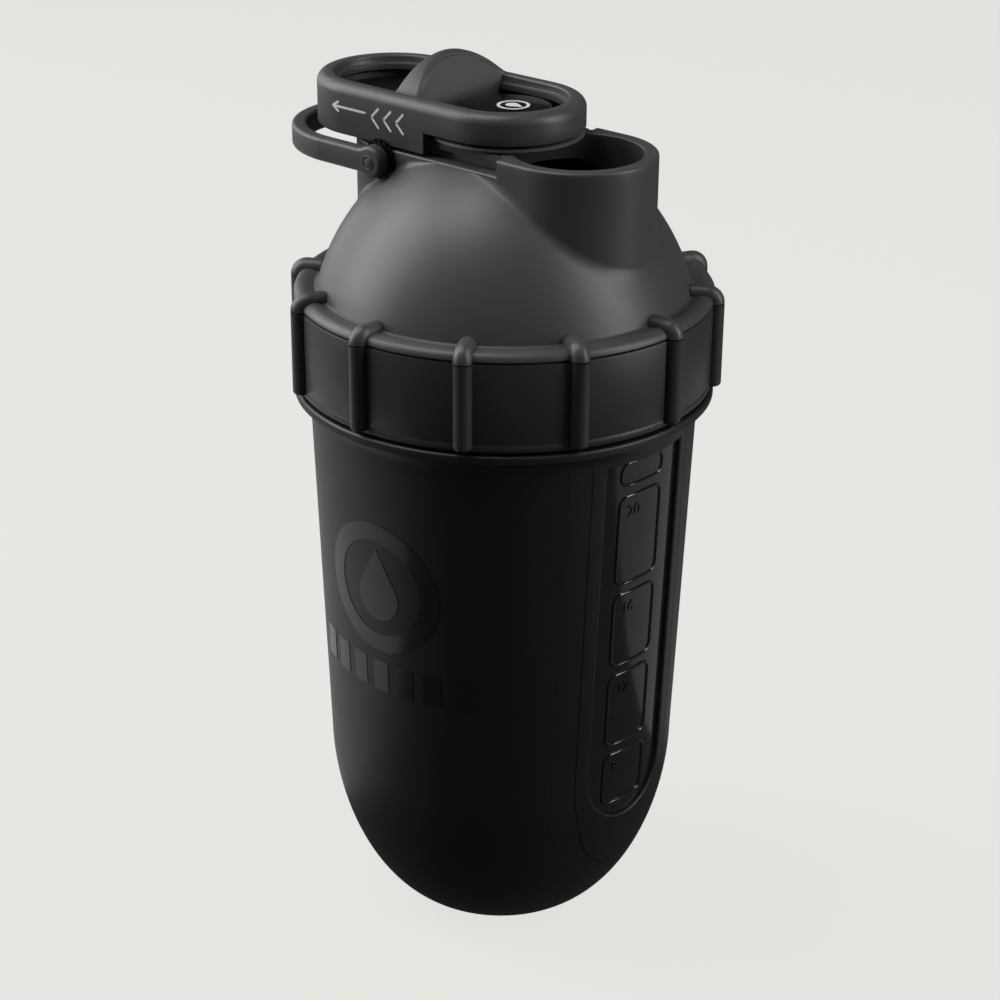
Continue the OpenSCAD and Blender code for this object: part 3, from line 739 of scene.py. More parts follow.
# %% Rib tree
def rib_tree():
    """A round bead along a two-leg path, copied round a circle."""
    tree = bpy.data.node_groups.new("beads_round_a_ring", "GeometryNodeTree")
    face = tree.interface
    for label, kind, value in (("Count", "NodeSocketInt", 12),
                               ("Ring Radius", "NodeSocketFloat", 0.05),
                               ("Bead Radius", "NodeSocketFloat", 0.002),
                               ("End Round", "NodeSocketFloat", 0.002),
                               ("Bend Radius", "NodeSocketFloat", 0.001),
                               ("Start", "NodeSocketVector", (0, 0, 0)),
                               ("Corner", "NodeSocketVector", (0, 0, 0)),
                               ("End", "NodeSocketVector", (0, 0, 0)),
                               ("Finish", "NodeSocketMaterial", None)):
        made = face.new_socket(name=label, in_out="INPUT", socket_type=kind)
        if value is not None:
            made.default_value = value
    face.new_socket(name="Geometry", in_out="OUTPUT", socket_type="NodeSocketGeometry")
    given = tree.nodes.new("NodeGroupInput").outputs
    path = add_node(tree, "GeometryNodeCurvePrimitiveLine")
    three = add_node(tree, "GeometryNodeResampleCurve", {"Count": 3},
                     {"Curve": path.outputs["Curve"]})
    order = add_node(tree, "GeometryNodeInputIndex")
    is_corner = add_node(tree, "FunctionNodeCompare", {"data_type": "INT", "operation": "EQUAL"})
    tree.links.new(order.outputs[0], is_corner.inputs[2])
    is_corner.inputs[3].default_value = 1
    is_end = add_node(tree, "FunctionNodeCompare", {"data_type": "INT", "operation": "EQUAL"})
    tree.links.new(order.outputs[0], is_end.inputs[2])
    is_end.inputs[3].default_value = 2
    first = add_node(tree, "GeometryNodeSwitch", {"input_type": "VECTOR"},
                     {"Switch": is_corner.outputs[0], "False": given["Start"],
                      "True": given["Corner"]})
    spot = add_node(tree, "GeometryNodeSwitch", {"input_type": "VECTOR"},
                    {"Switch": is_end.outputs[0], "False": first.outputs[0], "True": given["End"]})
    legs = add_node(tree, "GeometryNodeSetPosition", None,
                    {"Geometry": three.outputs["Curve"], "Position": spot.outputs[0]})
    bend = add_node(tree, "GeometryNodeFilletCurve", None,
                    {"Curve": legs.outputs["Geometry"], "Radius": given["Bend Radius"]})
    bend.mode = "POLY"
    bend.inputs["Count"].default_value = 10
    fine = add_node(tree, "GeometryNodeResampleCurve", {"Count": 48},
                    {"Curve": bend.outputs["Curve"]})
    along = add_node(tree, "GeometryNodeSplineParameter")
    whole = add_node(tree, "GeometryNodeSplineLength")
    left = add_node(tree, "ShaderNodeMath", {"operation": "SUBTRACT"})
    tree.links.new(whole.outputs["Length"], left.inputs[0])
    tree.links.new(along.outputs["Length"], left.inputs[1])
    share = add_node(tree, "ShaderNodeMath", {"operation": "DIVIDE", "use_clamp": True})
    tree.links.new(left.outputs[0], share.inputs[0])
    tree.links.new(given["End Round"], share.inputs[1])
    gone = add_node(tree, "ShaderNodeMath", {"operation": "SUBTRACT"})
    gone.inputs[0].default_value = 1.0
    tree.links.new(share.outputs[0], gone.inputs[1])
    square = add_node(tree, "ShaderNodeMath", {"operation": "POWER"})
    tree.links.new(gone.outputs[0], square.inputs[0])
    square.inputs[1].default_value = 2.0
    rest = add_node(tree, "ShaderNodeMath", {"operation": "SUBTRACT"})
    rest.inputs[0].default_value = 1.0
    tree.links.new(square.outputs[0], rest.inputs[1])
    root = add_node(tree, "ShaderNodeMath", {"operation": "SQRT"})
    tree.links.new(rest.outputs[0], root.inputs[0])
    floor_ = add_node(tree, "ShaderNodeMath", {"operation": "MAXIMUM"})
    tree.links.new(root.outputs[0], floor_.inputs[0])
    floor_.inputs[1].default_value = 0.02
    size = add_node(tree, "ShaderNodeMath", {"operation": "MULTIPLY"})
    tree.links.new(floor_.outputs[0], size.inputs[0])
    tree.links.new(given["Bead Radius"], size.inputs[1])
    section = add_node(tree, "GeometryNodeCurvePrimitiveCircle", {"Resolution": 28, "Radius": 1.0})
    bead = add_node(tree, "GeometryNodeCurveToMesh", {"Fill Caps": True},
                    {"Curve": fine.outputs["Curve"], "Profile Curve": section.outputs["Curve"],
                     "Scale": size.outputs[0]})
    circle = add_node(tree, "GeometryNodeMeshCircle", None,
                      {"Vertices": given["Count"], "Radius": given["Ring Radius"]})
    number = add_node(tree, "GeometryNodeInputIndex")
    step = add_node(tree, "ShaderNodeMath", {"operation": "DIVIDE"})
    step.inputs[0].default_value = 2 * math.pi
    tree.links.new(given["Count"], step.inputs[1])
    turned = add_node(tree, "ShaderNodeMath", {"operation": "MULTIPLY"})
    tree.links.new(step.outputs[0], turned.inputs[0])
    tree.links.new(number.outputs[0], turned.inputs[1])
    spin = add_node(tree, "ShaderNodeCombineXYZ", None, {"Z": turned.outputs[0]})
    copies = add_node(tree, "GeometryNodeInstanceOnPoints", None,
                      {"Points": circle.outputs["Mesh"], "Instance": bead.outputs["Mesh"],
                       "Rotation": spin.outputs[0]})
    real = add_node(tree, "GeometryNodeRealizeInstances", None, {"Geometry": copies.outputs[0]})
    painted = add_node(tree, "GeometryNodeSetMaterial", None,
                       {"Geometry": real.outputs[0], "Material": given["Finish"]})
    add_node(tree, "NodeGroupOutput", None, {"Geometry": painted.outputs[0]})
    return tree


def bake_tree(name, tree, values, body, material, replaces=(), sharp=40):
    """Runs a tree on an empty mesh, keeps the result as a plain mesh and dresses it."""
    host = bpy.data.objects.new(name + "_host", bpy.data.meshes.new(name + "_host"))
    bpy.context.scene.collection.objects.link(host)
    run = host.modifiers.new("tree", "NODES")
    run.node_group = tree
    for item in tree.interface.items_tree:
        if item.in_out == "INPUT" and item.name in values:
            run[item.identifier] = values[item.name]
    graph = bpy.context.evaluated_depsgraph_get()
    mesh = bpy.data.meshes.new_from_object(host.evaluated_get(graph))
    host.modifiers.clear()
    bpy.data.objects.remove(host)
    mesh.name = name
    bm = bmesh.new()
    bm.from_mesh(mesh)
    bmesh.ops.remove_doubles(bm, verts=bm.verts, dist=0.001 * MM)
    bmesh.ops.recalc_face_normals(bm, faces=bm.faces)
    open_edges = sum(1 for e in bm.edges if len(e.link_faces) != 2)
    bm.to_mesh(mesh)
    bm.free()
    return dress(name, mesh, body, material, replaces, sharp, open_edges)


ribs = rib_tree()
RIB_AT, RIB_R = 50.7 * MM, 2.2 * MM
bake_tree("ring_ribs", ribs,
          {"Count": 12, "Ring Radius": RIB_AT, "Bead Radius": RIB_R, "End Round": 0.9 * MM,
           "Bend Radius": 0.0, "Start": (0, 0, 166.05 * MM), "Corner": (0, 0, 156 * MM),
           "End": (0, 0, 145.2 * MM), "Finish": ring_polypropylene}, "lid",
          ring_polypropylene)
bake_tree("shoulder_ribs", ribs,
          {"Count": 12, "Ring Radius": RIB_AT, "Bead Radius": RIB_R, "End Round": RIB_R,
           "Bend Radius": 2.0 * MM, "Start": (0, 0, 166.3 * MM), "Corner": (0, 0, 168.35 * MM),
           "End": (-7.6 * MM, 0, 168.2 * MM), "Finish": satin_polypropylene}, "lid",
          satin_polypropylene)

# %% [markdown]
# ## The sliding cover
# The cover is a round-ended frame with a softened top edge, a small step inside its openings and a
# skirt that is cut away in front so that it passes over the spout. It is again a net of rows round
# one outline. Its foot steps up at the notch, where two columns stand almost at the same place.

# %% Cover frame
FRONT_X, REAR_X, NOTCH_X = 0.3, -35.6, -9.3
SLIDE_LOW, SLIDE_TOP, FRONT_LOW = 201.3, 213.5, 206.3
frame_line = []
for i in range(ARC_STEPS + 1):
    a = math.radians(-90 + 180 * i / ARC_STEPS)
    frame_line.append((FRONT_X, math.cos(a), math.sin(a), FRONT_LOW))
side_x = [FRONT_X + (NOTCH_X + 0.02 - FRONT_X) * i / 6 for i in range(1, 7)]
back_x = [NOTCH_X - 0.02 + (REAR_X - NOTCH_X + 0.02) * i / 18 for i in range(18)]
frame_line += [(x, 0.0, 1.0, FRONT_LOW) for x in side_x]
frame_line += [(x, 0.0, 1.0, SLIDE_LOW) for x in back_x]
for i in range(ARC_STEPS + 1):
    a = math.radians(90 + 180 * i / ARC_STEPS)
    frame_line.append((REAR_X, math.cos(a), math.sin(a), SLIDE_LOW))
frame_line += [(x, 0.0, -1.0, SLIDE_LOW) for x in reversed(back_x)]
frame_line += [(x, 0.0, -1.0, FRONT_LOW) for x in reversed(side_x)]

frame_profile = [("low", 16.1, 0.3), ("low", 16.3, 0.05), ("low", 16.6, 0.0), ("low", 18.0, 0.0),
                 ("low", 18.35, 0.1), ("low", SPOUT_R, 0.45), ("at", SPOUT_R, 209.0)]
frame_profile += [("at", r, z) for r, z in arc(SPOUT_R - 2.5, SLIDE_TOP - 2.5, 2.5, 0, 90, 9)]
frame_profile += [("at", r, z) for r, z in [(15.2, SLIDE_TOP), (14.75, SLIDE_TOP - 0.06),
                                            (14.45, SLIDE_TOP - 0.3), (14.35, SLIDE_TOP - 0.7),
                                            (14.3, SLIDE_TOP - 1.7), (14.15, SLIDE_TOP - 1.9),
                                            (13.7, SLIDE_TOP - 1.95), (13.4, SLIDE_TOP - 2.05),
                                            (13.3, SLIDE_TOP - 2.4), (13.3, SLIDE_TOP - 3.4),
                                            (13.6, SLIDE_TOP - 3.6), (16.1, SLIDE_TOP - 3.6)]]
frame_rows = [[(x + r * nx, r * ny, low + z if how == "low" else z)
               for x, nx, ny, low in frame_line] for how, r, z in frame_profile]
cover_net = ([p for row in frame_rows for p in row],
             grid_faces(len(frame_rows), len(frame_line), wrap_rows=True))

# %% [markdown]
# ## The thumb fin
# A half-disc plate stands across the frame for the thumb to push. Its front slopes down into the
# front opening, its top edge is round, and it flows into the rim at both ends. It is built as
# slices across the bottle, each slice a small profile whose height follows the disc.

# %% Fin
FIN_R, FIN_MID = 20.3, 200.6
FIN_TOP_Z = FIN_MID + FIN_R
FIN_FOOT_FRONT, FIN_FOOT_REAR, FIN_TOP_FRONT, FIN_TOP_REAR = -13.1, -20.9, -17.2, -20.2


def fin_height(y):
    """The disc's edge, eased into the rim so that the ends have fillets."""
    disc = FIN_MID + math.sqrt(max(0.0, FIN_R ** 2 - y * y))
    ease = 0.75
    return SLIDE_TOP - 0.15 + ease * math.log1p(math.exp((disc - SLIDE_TOP + 0.15) / ease))


def fin_slice(y):
    top = fin_height(y)
    share = (top - SLIDE_TOP) / (FIN_TOP_Z - SLIDE_TOP)
    front = FIN_FOOT_FRONT + (FIN_TOP_FRONT - FIN_FOOT_FRONT) * share
    rear = FIN_FOOT_REAR
    if share > 0:
        rear = FIN_FOOT_REAR + (FIN_TOP_REAR - FIN_FOOT_REAR) * share ** 0.8
    soft = 1.15
    loop = [(FIN_FOOT_FRONT, 206.6), (FIN_FOOT_FRONT, 210.0), (FIN_FOOT_FRONT, SLIDE_TOP - 1.6)]
    for i in range(1, 7):
        t = i / 6
        loop.append((FIN_FOOT_FRONT + (front - FIN_FOOT_FRONT) * t * 0.86,
                     SLIDE_TOP - 1.6 + (top - soft - SLIDE_TOP + 1.6) * t))
    loop += [(front + 0.05 - soft * (1 - math.cos(a)), top - soft + soft * math.sin(a))
             for a in np.radians([12, 30, 50, 70, 90])]
    loop += [(rear + soft * (1 - math.sin(a)), top - soft + soft * math.cos(a))
             for a in np.radians([0, 20, 40, 60, 78])]
    for i in range(1, 7):
        t = i / 6
        loop.append((rear + (FIN_FOOT_REAR - rear) * t, top - soft
                     + (SLIDE_TOP - 0.8 - top + soft) * t))
    loop += [(FIN_FOOT_REAR, 210.0), (FIN_FOOT_REAR, 206.6)]
    return [(x, y, z) for x, z in loop]


fin_rows = [fin_slice(16.0 * math.sin(a)) for a in np.radians(np.linspace(-90, 90, 61))]
n = len(fin_rows[0])
fin = ([p for row in fin_rows for p in row],
       grid_faces(len(fin_rows), n) + [tuple(range(n))[::-1],
                                       tuple((len(fin_rows) - 1) * n + i for i in range(n))])
make_piece("cover_frame", join_parts(cover_net, fin), "slider", satin_polypropylene,
           ["slider_frame"], sharp=38)

# %% [markdown]
# ## The silicone seal
# A soft disc under the cover's front end closes the spout. Its rim is a rounded lip with a shallow
# groove behind it, which shows as a thin light band between two dark lines. A turned profile is
# enough, as it is a moulded round part.

# %% Seal
seal_profile = ([(0.0, 204.75), (13.4, 204.75), (13.9, 204.62)]
                + arc(17.75, 205.05, 0.45, -90, 90, 8)
                + [(17.3, 205.42), (17.1, 205.5), (0.0, 205.5)])
make_piece("spout_seal", lathe(seal_profile, 128, (FRONT_X, 0)), "slider",
           moulded_silicone, ["plug_seal"])

# %% [markdown]
# ## The gloss disc and its mark
# A gloss acrylic disc stands up in the front opening, with a small light mark printed on its top:
# a ring and a drop, like the one on the bottle's front. The disc has a softened edge so that it
# catches a line of light.

# %% Disc
DISC_R, DISC_LOW, DISC_TOP, DISC_EDGE = 10.5, 206.35, 211.0, 0.35
disc_profile = [(0.0, DISC_LOW), (DISC_R - 0.3, DISC_LOW), (DISC_R, DISC_LOW + 0.25)]
disc_profile += arc(DISC_R - DISC_EDGE, DISC_TOP - DISC_EDGE, DISC_EDGE, 0, 90, 4)
disc_profile += [(0.0, DISC_TOP)]
make_piece("gloss_disc", lathe(disc_profile, 96, (FRONT_X, 0)), "slider",
           gloss_acrylic, ["plug_badge"])


def flat_print(rows, z, thickness=0.06):
    """A thin closed ring or drop of print lying flat, from rows of (x, y)."""
    return slab([(x, y, z + thickness) for row in rows for x, y in row],
                [(x, y, z - 0.03) for row in rows for x, y in row], len(rows), len(rows[0]), True)


MARK_R, MARK_X, MARK_Y = 3.9, 1.0, 1.4
small_ring = [[(MARK_X + r * math.cos(a), MARK_Y + r * math.sin(a)) for a in round_steps]
              for r in (MARK_R - 0.75, MARK_R)]
small_drop = []
for share in (HUB, 0.5, 1.0):
    row = []
    for a in round_steps:
        off = abs((a + math.pi) % (2 * math.pi) - math.pi)
        reach = 1.55 / math.cos(half_turn - off) if off < half_turn else 1.55
        row.append((MARK_X - 0.4 + share * reach * math.cos(a),
                    MARK_Y + share * reach * math.sin(a)))
    small_drop.append(row)
small_mark = join_parts(flat_print(small_ring, DISC_TOP), flat_print(small_drop, DISC_TOP))
make_piece("disc_mark", small_mark, "slider", pad_print_grey)


# %% [markdown]
# ## Beads, by Geometry Nodes
# Along the far wall of the rear opening runs a low band with a row of tiny beads, which gives a
# fingertip some grip. The beads are small balls set on the points of an arc by Geometry Nodes, and
# each has only a few dozen faces because there are many of them.

# %% Bead tree
def bead_tree():
    """Small balls set evenly along an arc."""
    tree = bpy.data.node_groups.new("beads_on_an_arc", "GeometryNodeTree")
    face = tree.interface
    for label, kind in (("Count", "NodeSocketInt"), ("Arc Radius", "NodeSocketFloat"),
                        ("Ball Radius", "NodeSocketFloat"), ("Start Angle", "NodeSocketFloat"),
                        ("Sweep Angle", "NodeSocketFloat"), ("Centre", "NodeSocketVector"),
                        ("Finish", "NodeSocketMaterial")):
        face.new_socket(name=label, in_out="INPUT", socket_type=kind)
    face.new_socket(name="Geometry", in_out="OUTPUT", socket_type="NodeSocketGeometry")
    given = tree.nodes.new("NodeGroupInput").outputs
    curve = add_node(tree, "GeometryNodeCurveArc", {"Resolution": 64},
                     {"Radius": given["Arc Radius"], "Start Angle": given["Start Angle"],
                      "Sweep Angle": given["Sweep Angle"]})
    spots = add_node(tree, "GeometryNodeCurveToPoints", None,
                     {"Curve": curve.outputs["Curve"], "Count": given["Count"]})
    ball = add_node(tree, "GeometryNodeMeshIcoSphere", {"Subdivisions": 2},
                    {"Radius": given["Ball Radius"]})
    copies = add_node(tree, "GeometryNodeInstanceOnPoints", None,
                      {"Points": spots.outputs["Points"], "Instance": ball.outputs["Mesh"]})
    real = add_node(tree, "GeometryNodeRealizeInstances", None, {"Geometry": copies.outputs[0]})
    moved = add_node(tree, "GeometryNodeTransform", None,
                     {"Geometry": real.outputs[0], "Translation": given["Centre"]})
    painted = add_node(tree, "GeometryNodeSetMaterial", None,
                       {"Geometry": moved.outputs[0], "Material": given["Finish"]})
    add_node(tree, "NodeGroupOutput", None, {"Geometry": painted.outputs[0]})
    return tree


bake_tree("grip_beads", bead_tree(),
          {"Count": 40, "Arc Radius": 15.2 * MM, "Ball Radius": 0.4 * MM,
           "Start Angle": math.radians(93), "Sweep Angle": math.radians(146),
           "Centre": (REAR_X * MM, 0, 209.5 * MM), "Finish": satin_polypropylene}, "slider",
          satin_polypropylene, ["bead_strip"])
band_rows = []
for a in np.radians(np.linspace(90, 242, 77)):
    band_rows.append([(REAR_X + r * math.cos(a), r * math.sin(a), z) for r, z in
                      [(16.05, 207.85), (16.05, 209.9), (15.9, 210.0), (15.75, 209.8),
                       (15.7, 209.5), (14.75, 209.35), (14.6, 209.2), (14.55, 208.9),
                       (14.5, 207.85)]])
band = ([p for row in band_rows for p in row],
        grid_faces(len(band_rows), 9) + [tuple(range(9))[::-1],
                                         tuple((len(band_rows) - 1) * 9 + i for i in range(9))])
make_piece("bead_band", band, "slider", satin_polypropylene)


# %% [markdown]
# ## The arrow
# A thin printed arrow and three chevrons on the marked side of the cover show which way to push.
# They are strokes with round joints, laid on the wall and wrapped round its end where they reach
# it.

# %% Arrow
def on_skirt(x, z, lift):
    """A point on the cover's marked side, following its round end."""
    if x >= REAR_X:
        return x, -(SPOUT_R + lift), z
    a = (REAR_X - x) / SPOUT_R
    return REAR_X - (SPOUT_R + lift) * math.sin(a), -(SPOUT_R + lift) * math.cos(a), z


def stroke(a, b, width=0.55):
    """A straight printed stroke with round ends."""
    length = math.hypot(b[0] - a[0], b[1] - a[1])
    ux, uz = (b[0] - a[0]) / length, (b[1] - a[1]) / length
    rows = []
    for s in np.linspace(0, 1, 13):
        along = s * (length + width) - width / 2
        over = max(0.0, -along, along - length)
        half = math.sqrt(max(0.0, (width / 2) ** 2 - over ** 2)) + 0.01
        rows.append([(a[0] + ux * along - uz * o * half, a[1] + uz * along + ux * o * half)
                     for o in (-1, 0, 1)])
    top = [on_skirt(x, z, 0.05) for row in rows for x, z in row]
    low = [on_skirt(x, z, -0.04) for row in rows for x, z in row]
    return slab(top, low, len(rows), 3)


ARROW_Z, ARROW_TIP, ARROW_END = 207.9, -38.2, -27.4
strokes = [stroke((ARROW_TIP, ARROW_Z), (ARROW_END, ARROW_Z)),
           stroke((ARROW_TIP, ARROW_Z), (ARROW_TIP + 1.9, ARROW_Z + 1.15)),
           stroke((ARROW_TIP, ARROW_Z), (ARROW_TIP + 1.9, ARROW_Z - 1.15))]
for x in (-25.6, -21.7, -17.8):
    strokes += [stroke((x, 207.3), (x + 2.3, 209.6)), stroke((x, 207.3), (x + 2.3, 205.0))]
make_piece("push_arrow", join_parts(*strokes), "slider", pad_print_grey,
           ["slide_arrow"])

# %% [markdown]
# ## The carry handle
# The handle is a flat bar bent into a round-ended loop, with a disc at each end round its pin. The
# arms are plates cut to a side outline in which the disc flows into the bar; the loop is the bar's
# rounded section carried round a half circle. Both use the same edge radius, so they run together.

# %% Handle
PIN_Z, PIN_R, ARM_IN, ARM_OUT, LOOP_X, ARM_H, ARM_END_R = 197.8, 1.5, 19.4, 23.0, -38.2, 5.6, 3.8
# EDGE rounds the bar's long edges, and each arm starts ARM_LAP past the end of the loop.
EDGE, ARM_LAP = 0.85, 0.05


def bar_section():
    """Rounded section of the bar: (across, up) round its middle."""
    across, up = (ARM_OUT - ARM_IN) / 2, ARM_H / 2
    points = []
    for cx, cz, start in ((across - EDGE, up - EDGE, 0), (EDGE - across, up - EDGE, 90),
                          (EDGE - across, EDGE - up, 180), (across - EDGE, EDGE - up, 270)):
        points += arc(cx, cz, EDGE, start, start + 90, 5)
    return points


section = bar_section()
mid = (ARM_IN + ARM_OUT) / 2
loop_rows = [[(LOOP_X + (mid + s) * math.cos(a), (mid + s) * math.sin(a), PIN_Z + u)
              for s, u in section] for a in np.radians(np.linspace(90, 270, 73))]
# The bar's ends run a little way inside the arms, so that the two solids overlap.
RUN_IN, TUCK = 0.4, 0.96
for side, place_in_list in ((1, 0), (-1, len(loop_rows) + 1)):
    loop_rows.insert(place_in_list, [(LOOP_X + RUN_IN, side * (mid + s * TUCK), PIN_Z + u * TUCK)
                                     for s, u in section])
n = len(section)
loop = ([p for row in loop_rows for p in row],
        grid_faces(len(loop_rows), n) + [tuple(range(n))[::-1],
                                         tuple((len(loop_rows) - 1) * n + i for i in range(n))])


def arm_outline():
    """The arm from the side: bar, concave blend, round end, and back; with outward normals."""
    half = ARM_H / 2
    start = math.pi - math.asin(half / ARM_END_R) - 0.16
    blend_x = ARM_END_R * math.cos(start)
    first_x = LOOP_X - ARM_LAP
    top = [(first_x + (PIN_X + blend_x - 2.2 - first_x) * i / 8, PIN_Z + half) for i in range(9)]
    joint = (PIN_X + ARM_END_R * math.cos(start), PIN_Z + ARM_END_R * math.sin(start))
    corner = (joint[0] - 0.9, PIN_Z + half)
    for i in range(1, 6):
        t = i / 6
        top.append(tuple((1 - t) ** 2 * a + 2 * t * (1 - t) * b + t * t * c
                         for a, b, c in zip(top[8], corner, joint)))
    turn = np.linspace(start, -start, 49)
    points = top + [(PIN_X + ARM_END_R * math.cos(a), PIN_Z + ARM_END_R * math.sin(a))
                    for a in turn]
    points += [(x, 2 * PIN_Z - z) for x, z in reversed(top)]
    out = []
    for i, (x, z) in enumerate(points):
        a, b = points[max(i - 1, 0)], points[min(i + 1, len(points) - 1)]
        dx, dz = b[0] - a[0], b[1] - a[1]
        size = math.hypot(dx, dz)
        out.append((x, z, -dz / size, dx / size))
    return out


def arm(side):
    """A plate with rounded edges between the arm's inner and outer faces."""
    outline_ = arm_outline()
    steps = ([(1.0, EDGE, 0.0), (0.62, EDGE * 0.62, EDGE * 0.07), (0.29, EDGE * 0.29, EDGE * 0.29),
              (0.07, EDGE * 0.07, EDGE * 0.62), (0.0, 0.0, EDGE)])
    rows = []
    for _, inset, deep in steps:
        rows.append((inset, ARM_IN + deep))
    for _, inset, deep in reversed(steps):
        rows.append((inset, ARM_OUT - deep))
    net_points = [(x - inset * nx, side * y, z - inset * nz) for inset, y in rows
                  for x, z, nx, nz in outline_]
    k = len(outline_)
    faces = grid_faces(len(rows), k)
    faces += [tuple(range(k))[::-1], tuple((len(rows) - 1) * k + i for i in range(k))]
    return net_points, faces


make_piece("handle_loop", join_parts(loop, arm(1), arm(-1)), "handle",
           satin_polypropylene, ["carry_handle"], sharp=40)


# %% [markdown]
# ## The hinge pins
# Each arm turns on a short pin. Its end shows on the arm as a small raised button with a fine ring
# round it, so it is turned with a groove near its edge and stands a touch proud.

# %% Pins
def pin(side):
    """A turned pin along Y with a grooved, slightly domed end."""
    profile = [(0.0, 14.8), (PIN_R, 14.8), (PIN_R, ARM_OUT - 0.1), (1.7, ARM_OUT - 0.05),
               (1.7, ARM_OUT + 0.12), (1.62, ARM_OUT + 0.2), (1.42, ARM_OUT + 0.2),
               (1.3, ARM_OUT + 0.02), (1.12, ARM_OUT + 0.02), (1.0, ARM_OUT + 0.2),
               (0.5, ARM_OUT + 0.28), (0.0, ARM_OUT + 0.3)]
    points, faces = lathe(profile, 40)
    return [(PIN_X + x, side * z, PIN_Z + side * y) for x, y, z in points], faces


make_piece("hinge_pin_a", pin(-1), "lid", satin_polypropylene, ["hinge_pin_front"])
make_piece("hinge_pin_b", pin(1), "lid", satin_polypropylene, ["hinge_pin_rear"])

# %% [markdown]
# ## CAD parts that stay
# The vessel with its screw thread, the gasket, the cover's floor and carrier, the clips and the
# toothed stops already have their true shape, so they keep their CAD meshes and only get a finish.

# %% Finishes for CAD parts
kept = {"inner_vessel": smoke_copolyester, "lid_gasket": moulded_silicone,
        "slide_floor": black_polypropylene_and_painted_shade, "plug_carrier": black_polypropylene_and_painted_shade,
        "guide_clip_front": black_polypropylene_and_painted_shade, "guide_clip_rear": black_polypropylene_and_painted_shade,
        "handle_stop_front": black_polypropylene_and_painted_shade, "handle_stop_rear": black_polypropylene_and_painted_shade}
for node_name, material in kept.items():
    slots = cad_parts[node_name].data.materials
    slots.clear()
    slots.append(material)
print("kept:", sorted(kept))


# %% [markdown]
# ## The studio
# The bottle stands on a plain pale floor in front of a pale backdrop of the same colour. Both glow
# gently and are hidden from reflections, as with a dark bottle shot in a darkened room over a light
# table: the black sleeve then stays black. Large soft lamps draw its form.

# %% Floor and backdrop
def glowing_paper(name, glow, albedo):
    """Pale studio paper: an even glow with faint fibres and a little diffuse for the shadow."""
    material = bpy.data.materials.new(name)
    material.use_nodes = True
    tree = material.node_tree
    tree.nodes.clear()
    place = add_node(tree, "ShaderNodeTexCoord")
    fibre = add_node(tree, "ShaderNodeTexNoise", {"Scale": 40.0, "Detail": 2.0},
                     {"Vector": place.outputs["Object"]})
    tint = add_node(tree, "ShaderNodeMix", {"data_type": "RGBA"})
    tree.links.new(fibre.outputs["Fac"], tint.inputs[0])
    pale = linear("#e8e7e3")
    tint.inputs[6].default_value = tuple(c * glow * 0.998 for c in pale[:3]) + (1,)
    tint.inputs[7].default_value = tuple(c * glow * 1.002 for c in pale[:3]) + (1,)
    shader = add_node(tree, "ShaderNodeBsdfPrincipled",
                      {"Base Color": tuple(c * albedo for c in pale[:3]) + (1,), "Roughness": 0.9,
                       "Specular IOR Level": 0.0, "Emission Strength": 1.0},
                      {"Emission Color": tint.outputs[2]})
    out = add_node(tree, "ShaderNodeOutputMaterial")
    tree.links.new(shader.outputs["BSDF"], out.inputs["Surface"])
    return material


def stage_mesh(name, points, faces, material):
    mesh = bpy.data.meshes.new(name)
    mesh.from_pydata(points, [], faces)
    mesh.materials.append(material)
    thing = bpy.data.objects.new(name, mesh)
    bpy.context.scene.collection.objects.link(thing)
    thing.visible_glossy = False
    thing.visible_diffuse = False
    thing.visible_transmission = False
    return thing


HALF = 20.0
stage_mesh("floor", [(-HALF, -HALF, 0), (HALF, -HALF, 0), (HALF, HALF, 0), (-HALF, HALF, 0)],
           [(0, 1, 2, 3)], glowing_paper("floor_paper", 0.92, 0.06))
ball_points, ball_faces = lathe([(30 * math.cos(a), 30 * math.sin(a))
                                 for a in np.radians(np.linspace(-90, 90, 25))], 48)
backdrop = stage_mesh("backdrop", ball_points, [f[::-1] for f in ball_faces],
                      glowing_paper("backdrop_paper", 0.985, 0.0))
backdrop.visible_shadow = False

world = bpy.data.worlds.new("studio_air")
bpy.context.scene.world = world
world.use_nodes = True
world.node_tree.nodes["Background"].inputs["Color"].default_value = linear("#cccccc")
world.node_tree.nodes["Background"].inputs["Strength"].default_value = 0.1
bpy.context.scene.view_settings.view_transform = "Standard"
bpy.context.scene.view_settings.look = "None"

# %% [markdown]
# ## Camera
# The camera looks down on the bottle from its marked side, turned a little towards the spout, with
# a long lens so that the perspective is gentle. Its place is worked out from those angles.

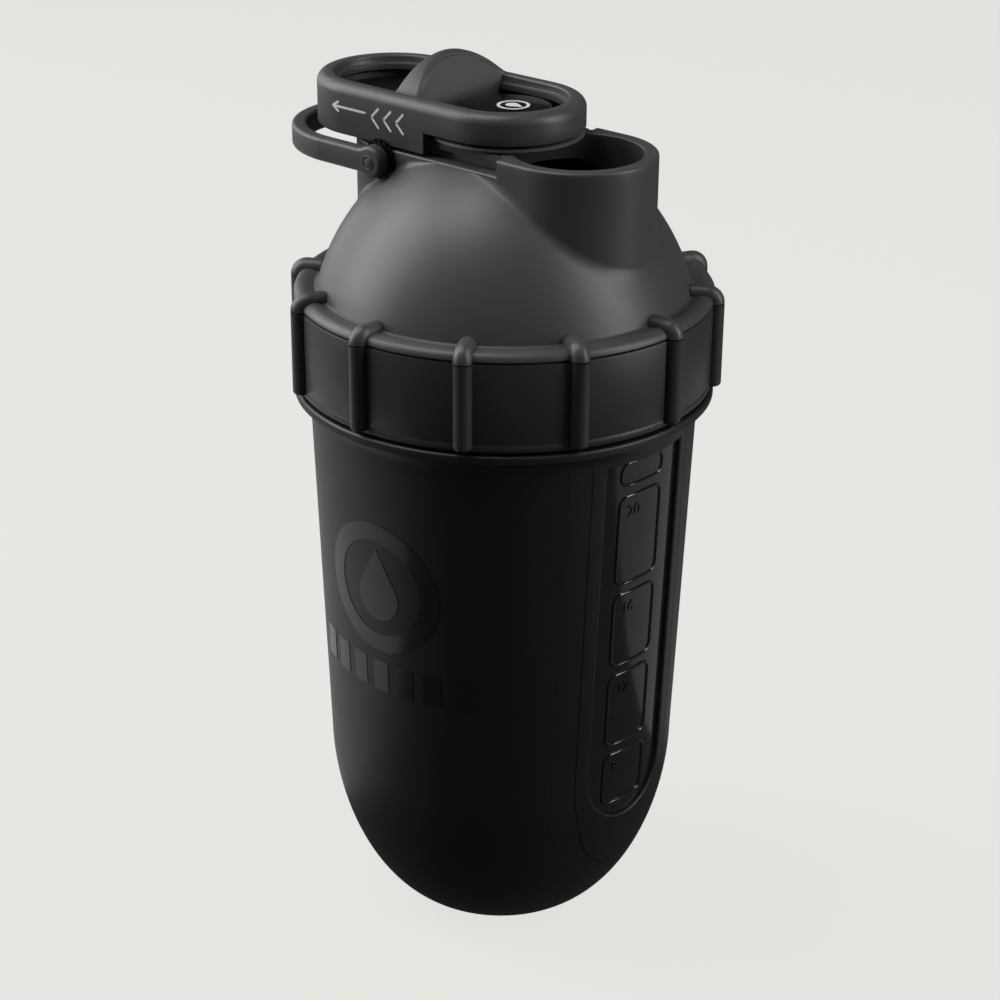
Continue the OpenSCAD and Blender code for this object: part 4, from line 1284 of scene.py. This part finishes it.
# %% Camera
AZIMUTH, ELEVATION, ROLL = math.radians(40.498), math.radians(24.63), math.radians(0.438)
back = Vector((math.sin(AZIMUTH) * math.cos(ELEVATION), -math.cos(AZIMUTH) * math.cos(ELEVATION),
               math.sin(ELEVATION)))
level = Vector((math.cos(AZIMUTH), math.sin(AZIMUTH), 0))
upward = back.cross(level)
right = level * math.cos(ROLL) + upward * math.sin(ROLL)
top_way = upward * math.cos(ROLL) - level * math.sin(ROLL)
place = Vector((0, 0, 0.1662)) - 0.00111 * right - 0.05083 * top_way + 0.5645 * back
lens = bpy.data.cameras.new("studio_camera")
lens.lens, lens.sensor_width = 84.7, 36
lens.clip_start, lens.clip_end = 0.01, 100
camera = bpy.data.objects.new("studio_camera", lens)
bpy.context.scene.collection.objects.link(camera)
turn = Matrix((right, top_way, back)).transposed().to_4x4()
camera.matrix_world = Matrix.Translation(place) @ turn
bpy.context.scene.camera = camera
print("camera at", [round(v, 4) for v in place])


# %% [markdown]
# ## Lights
# A large soft lamp on the left, a little in front, lights the dome. A narrow one on the right, a
# little behind, picks out that side, a weak one on the left draws the edge, and a small one high
# overhead lifts the cover. None stands straight in front, which keeps the sleeve black. Places are
# given as angles round the bottle, as one would set them up in a studio.

# %% Lamps
def lamp(name, azimuth, elevation, distance, width, height, power, aim=(0, 0, 0.13)):
    """A rectangular lamp at an azimuth from +X and an elevation, aimed at the bottle."""
    light = bpy.data.lights.new(name, "AREA")
    light.shape, light.size, light.size_y, light.energy = "RECTANGLE", width, height, power
    holder = bpy.data.objects.new(name, light)
    bpy.context.scene.collection.objects.link(holder)
    a, e = math.radians(azimuth), math.radians(elevation)
    spot = Vector(aim) + distance * Vector((math.cos(a) * math.cos(e), math.sin(a) * math.cos(e),
                                            math.sin(e)))
    holder.visible_camera = False
    holder.matrix_world = Matrix.Translation(spot) @ (
        (Vector(aim) - spot).to_track_quat("-Z", "Y").to_matrix().to_4x4())
    return holder


lamp("key", -150, 28, 1.1, 0.7, 1.0, 14)
lamp("right_strip", 22, 24, 1.0, 0.35, 1.0, 8)
lamp("left_edge", -186, 20, 1.0, 0.6, 1.0, 3)
lamp("overhead", -130, 72, 1.0, 0.5, 0.5, 5)
# Two glowing cards lie face up on the table, left and right behind. The sleeve mirrors them at a
# grazing angle and the dome, which leans back, does not.
lamp("left_card", -180, -90, 0.5, 0.5, 0.5, 0.45, aim=(-0.31, 0.02, 0.504))
lamp("right_card", -180, -90, 0.5, 0.3, 0.3, 0.07, aim=(0.14, 0.24, 0.504))
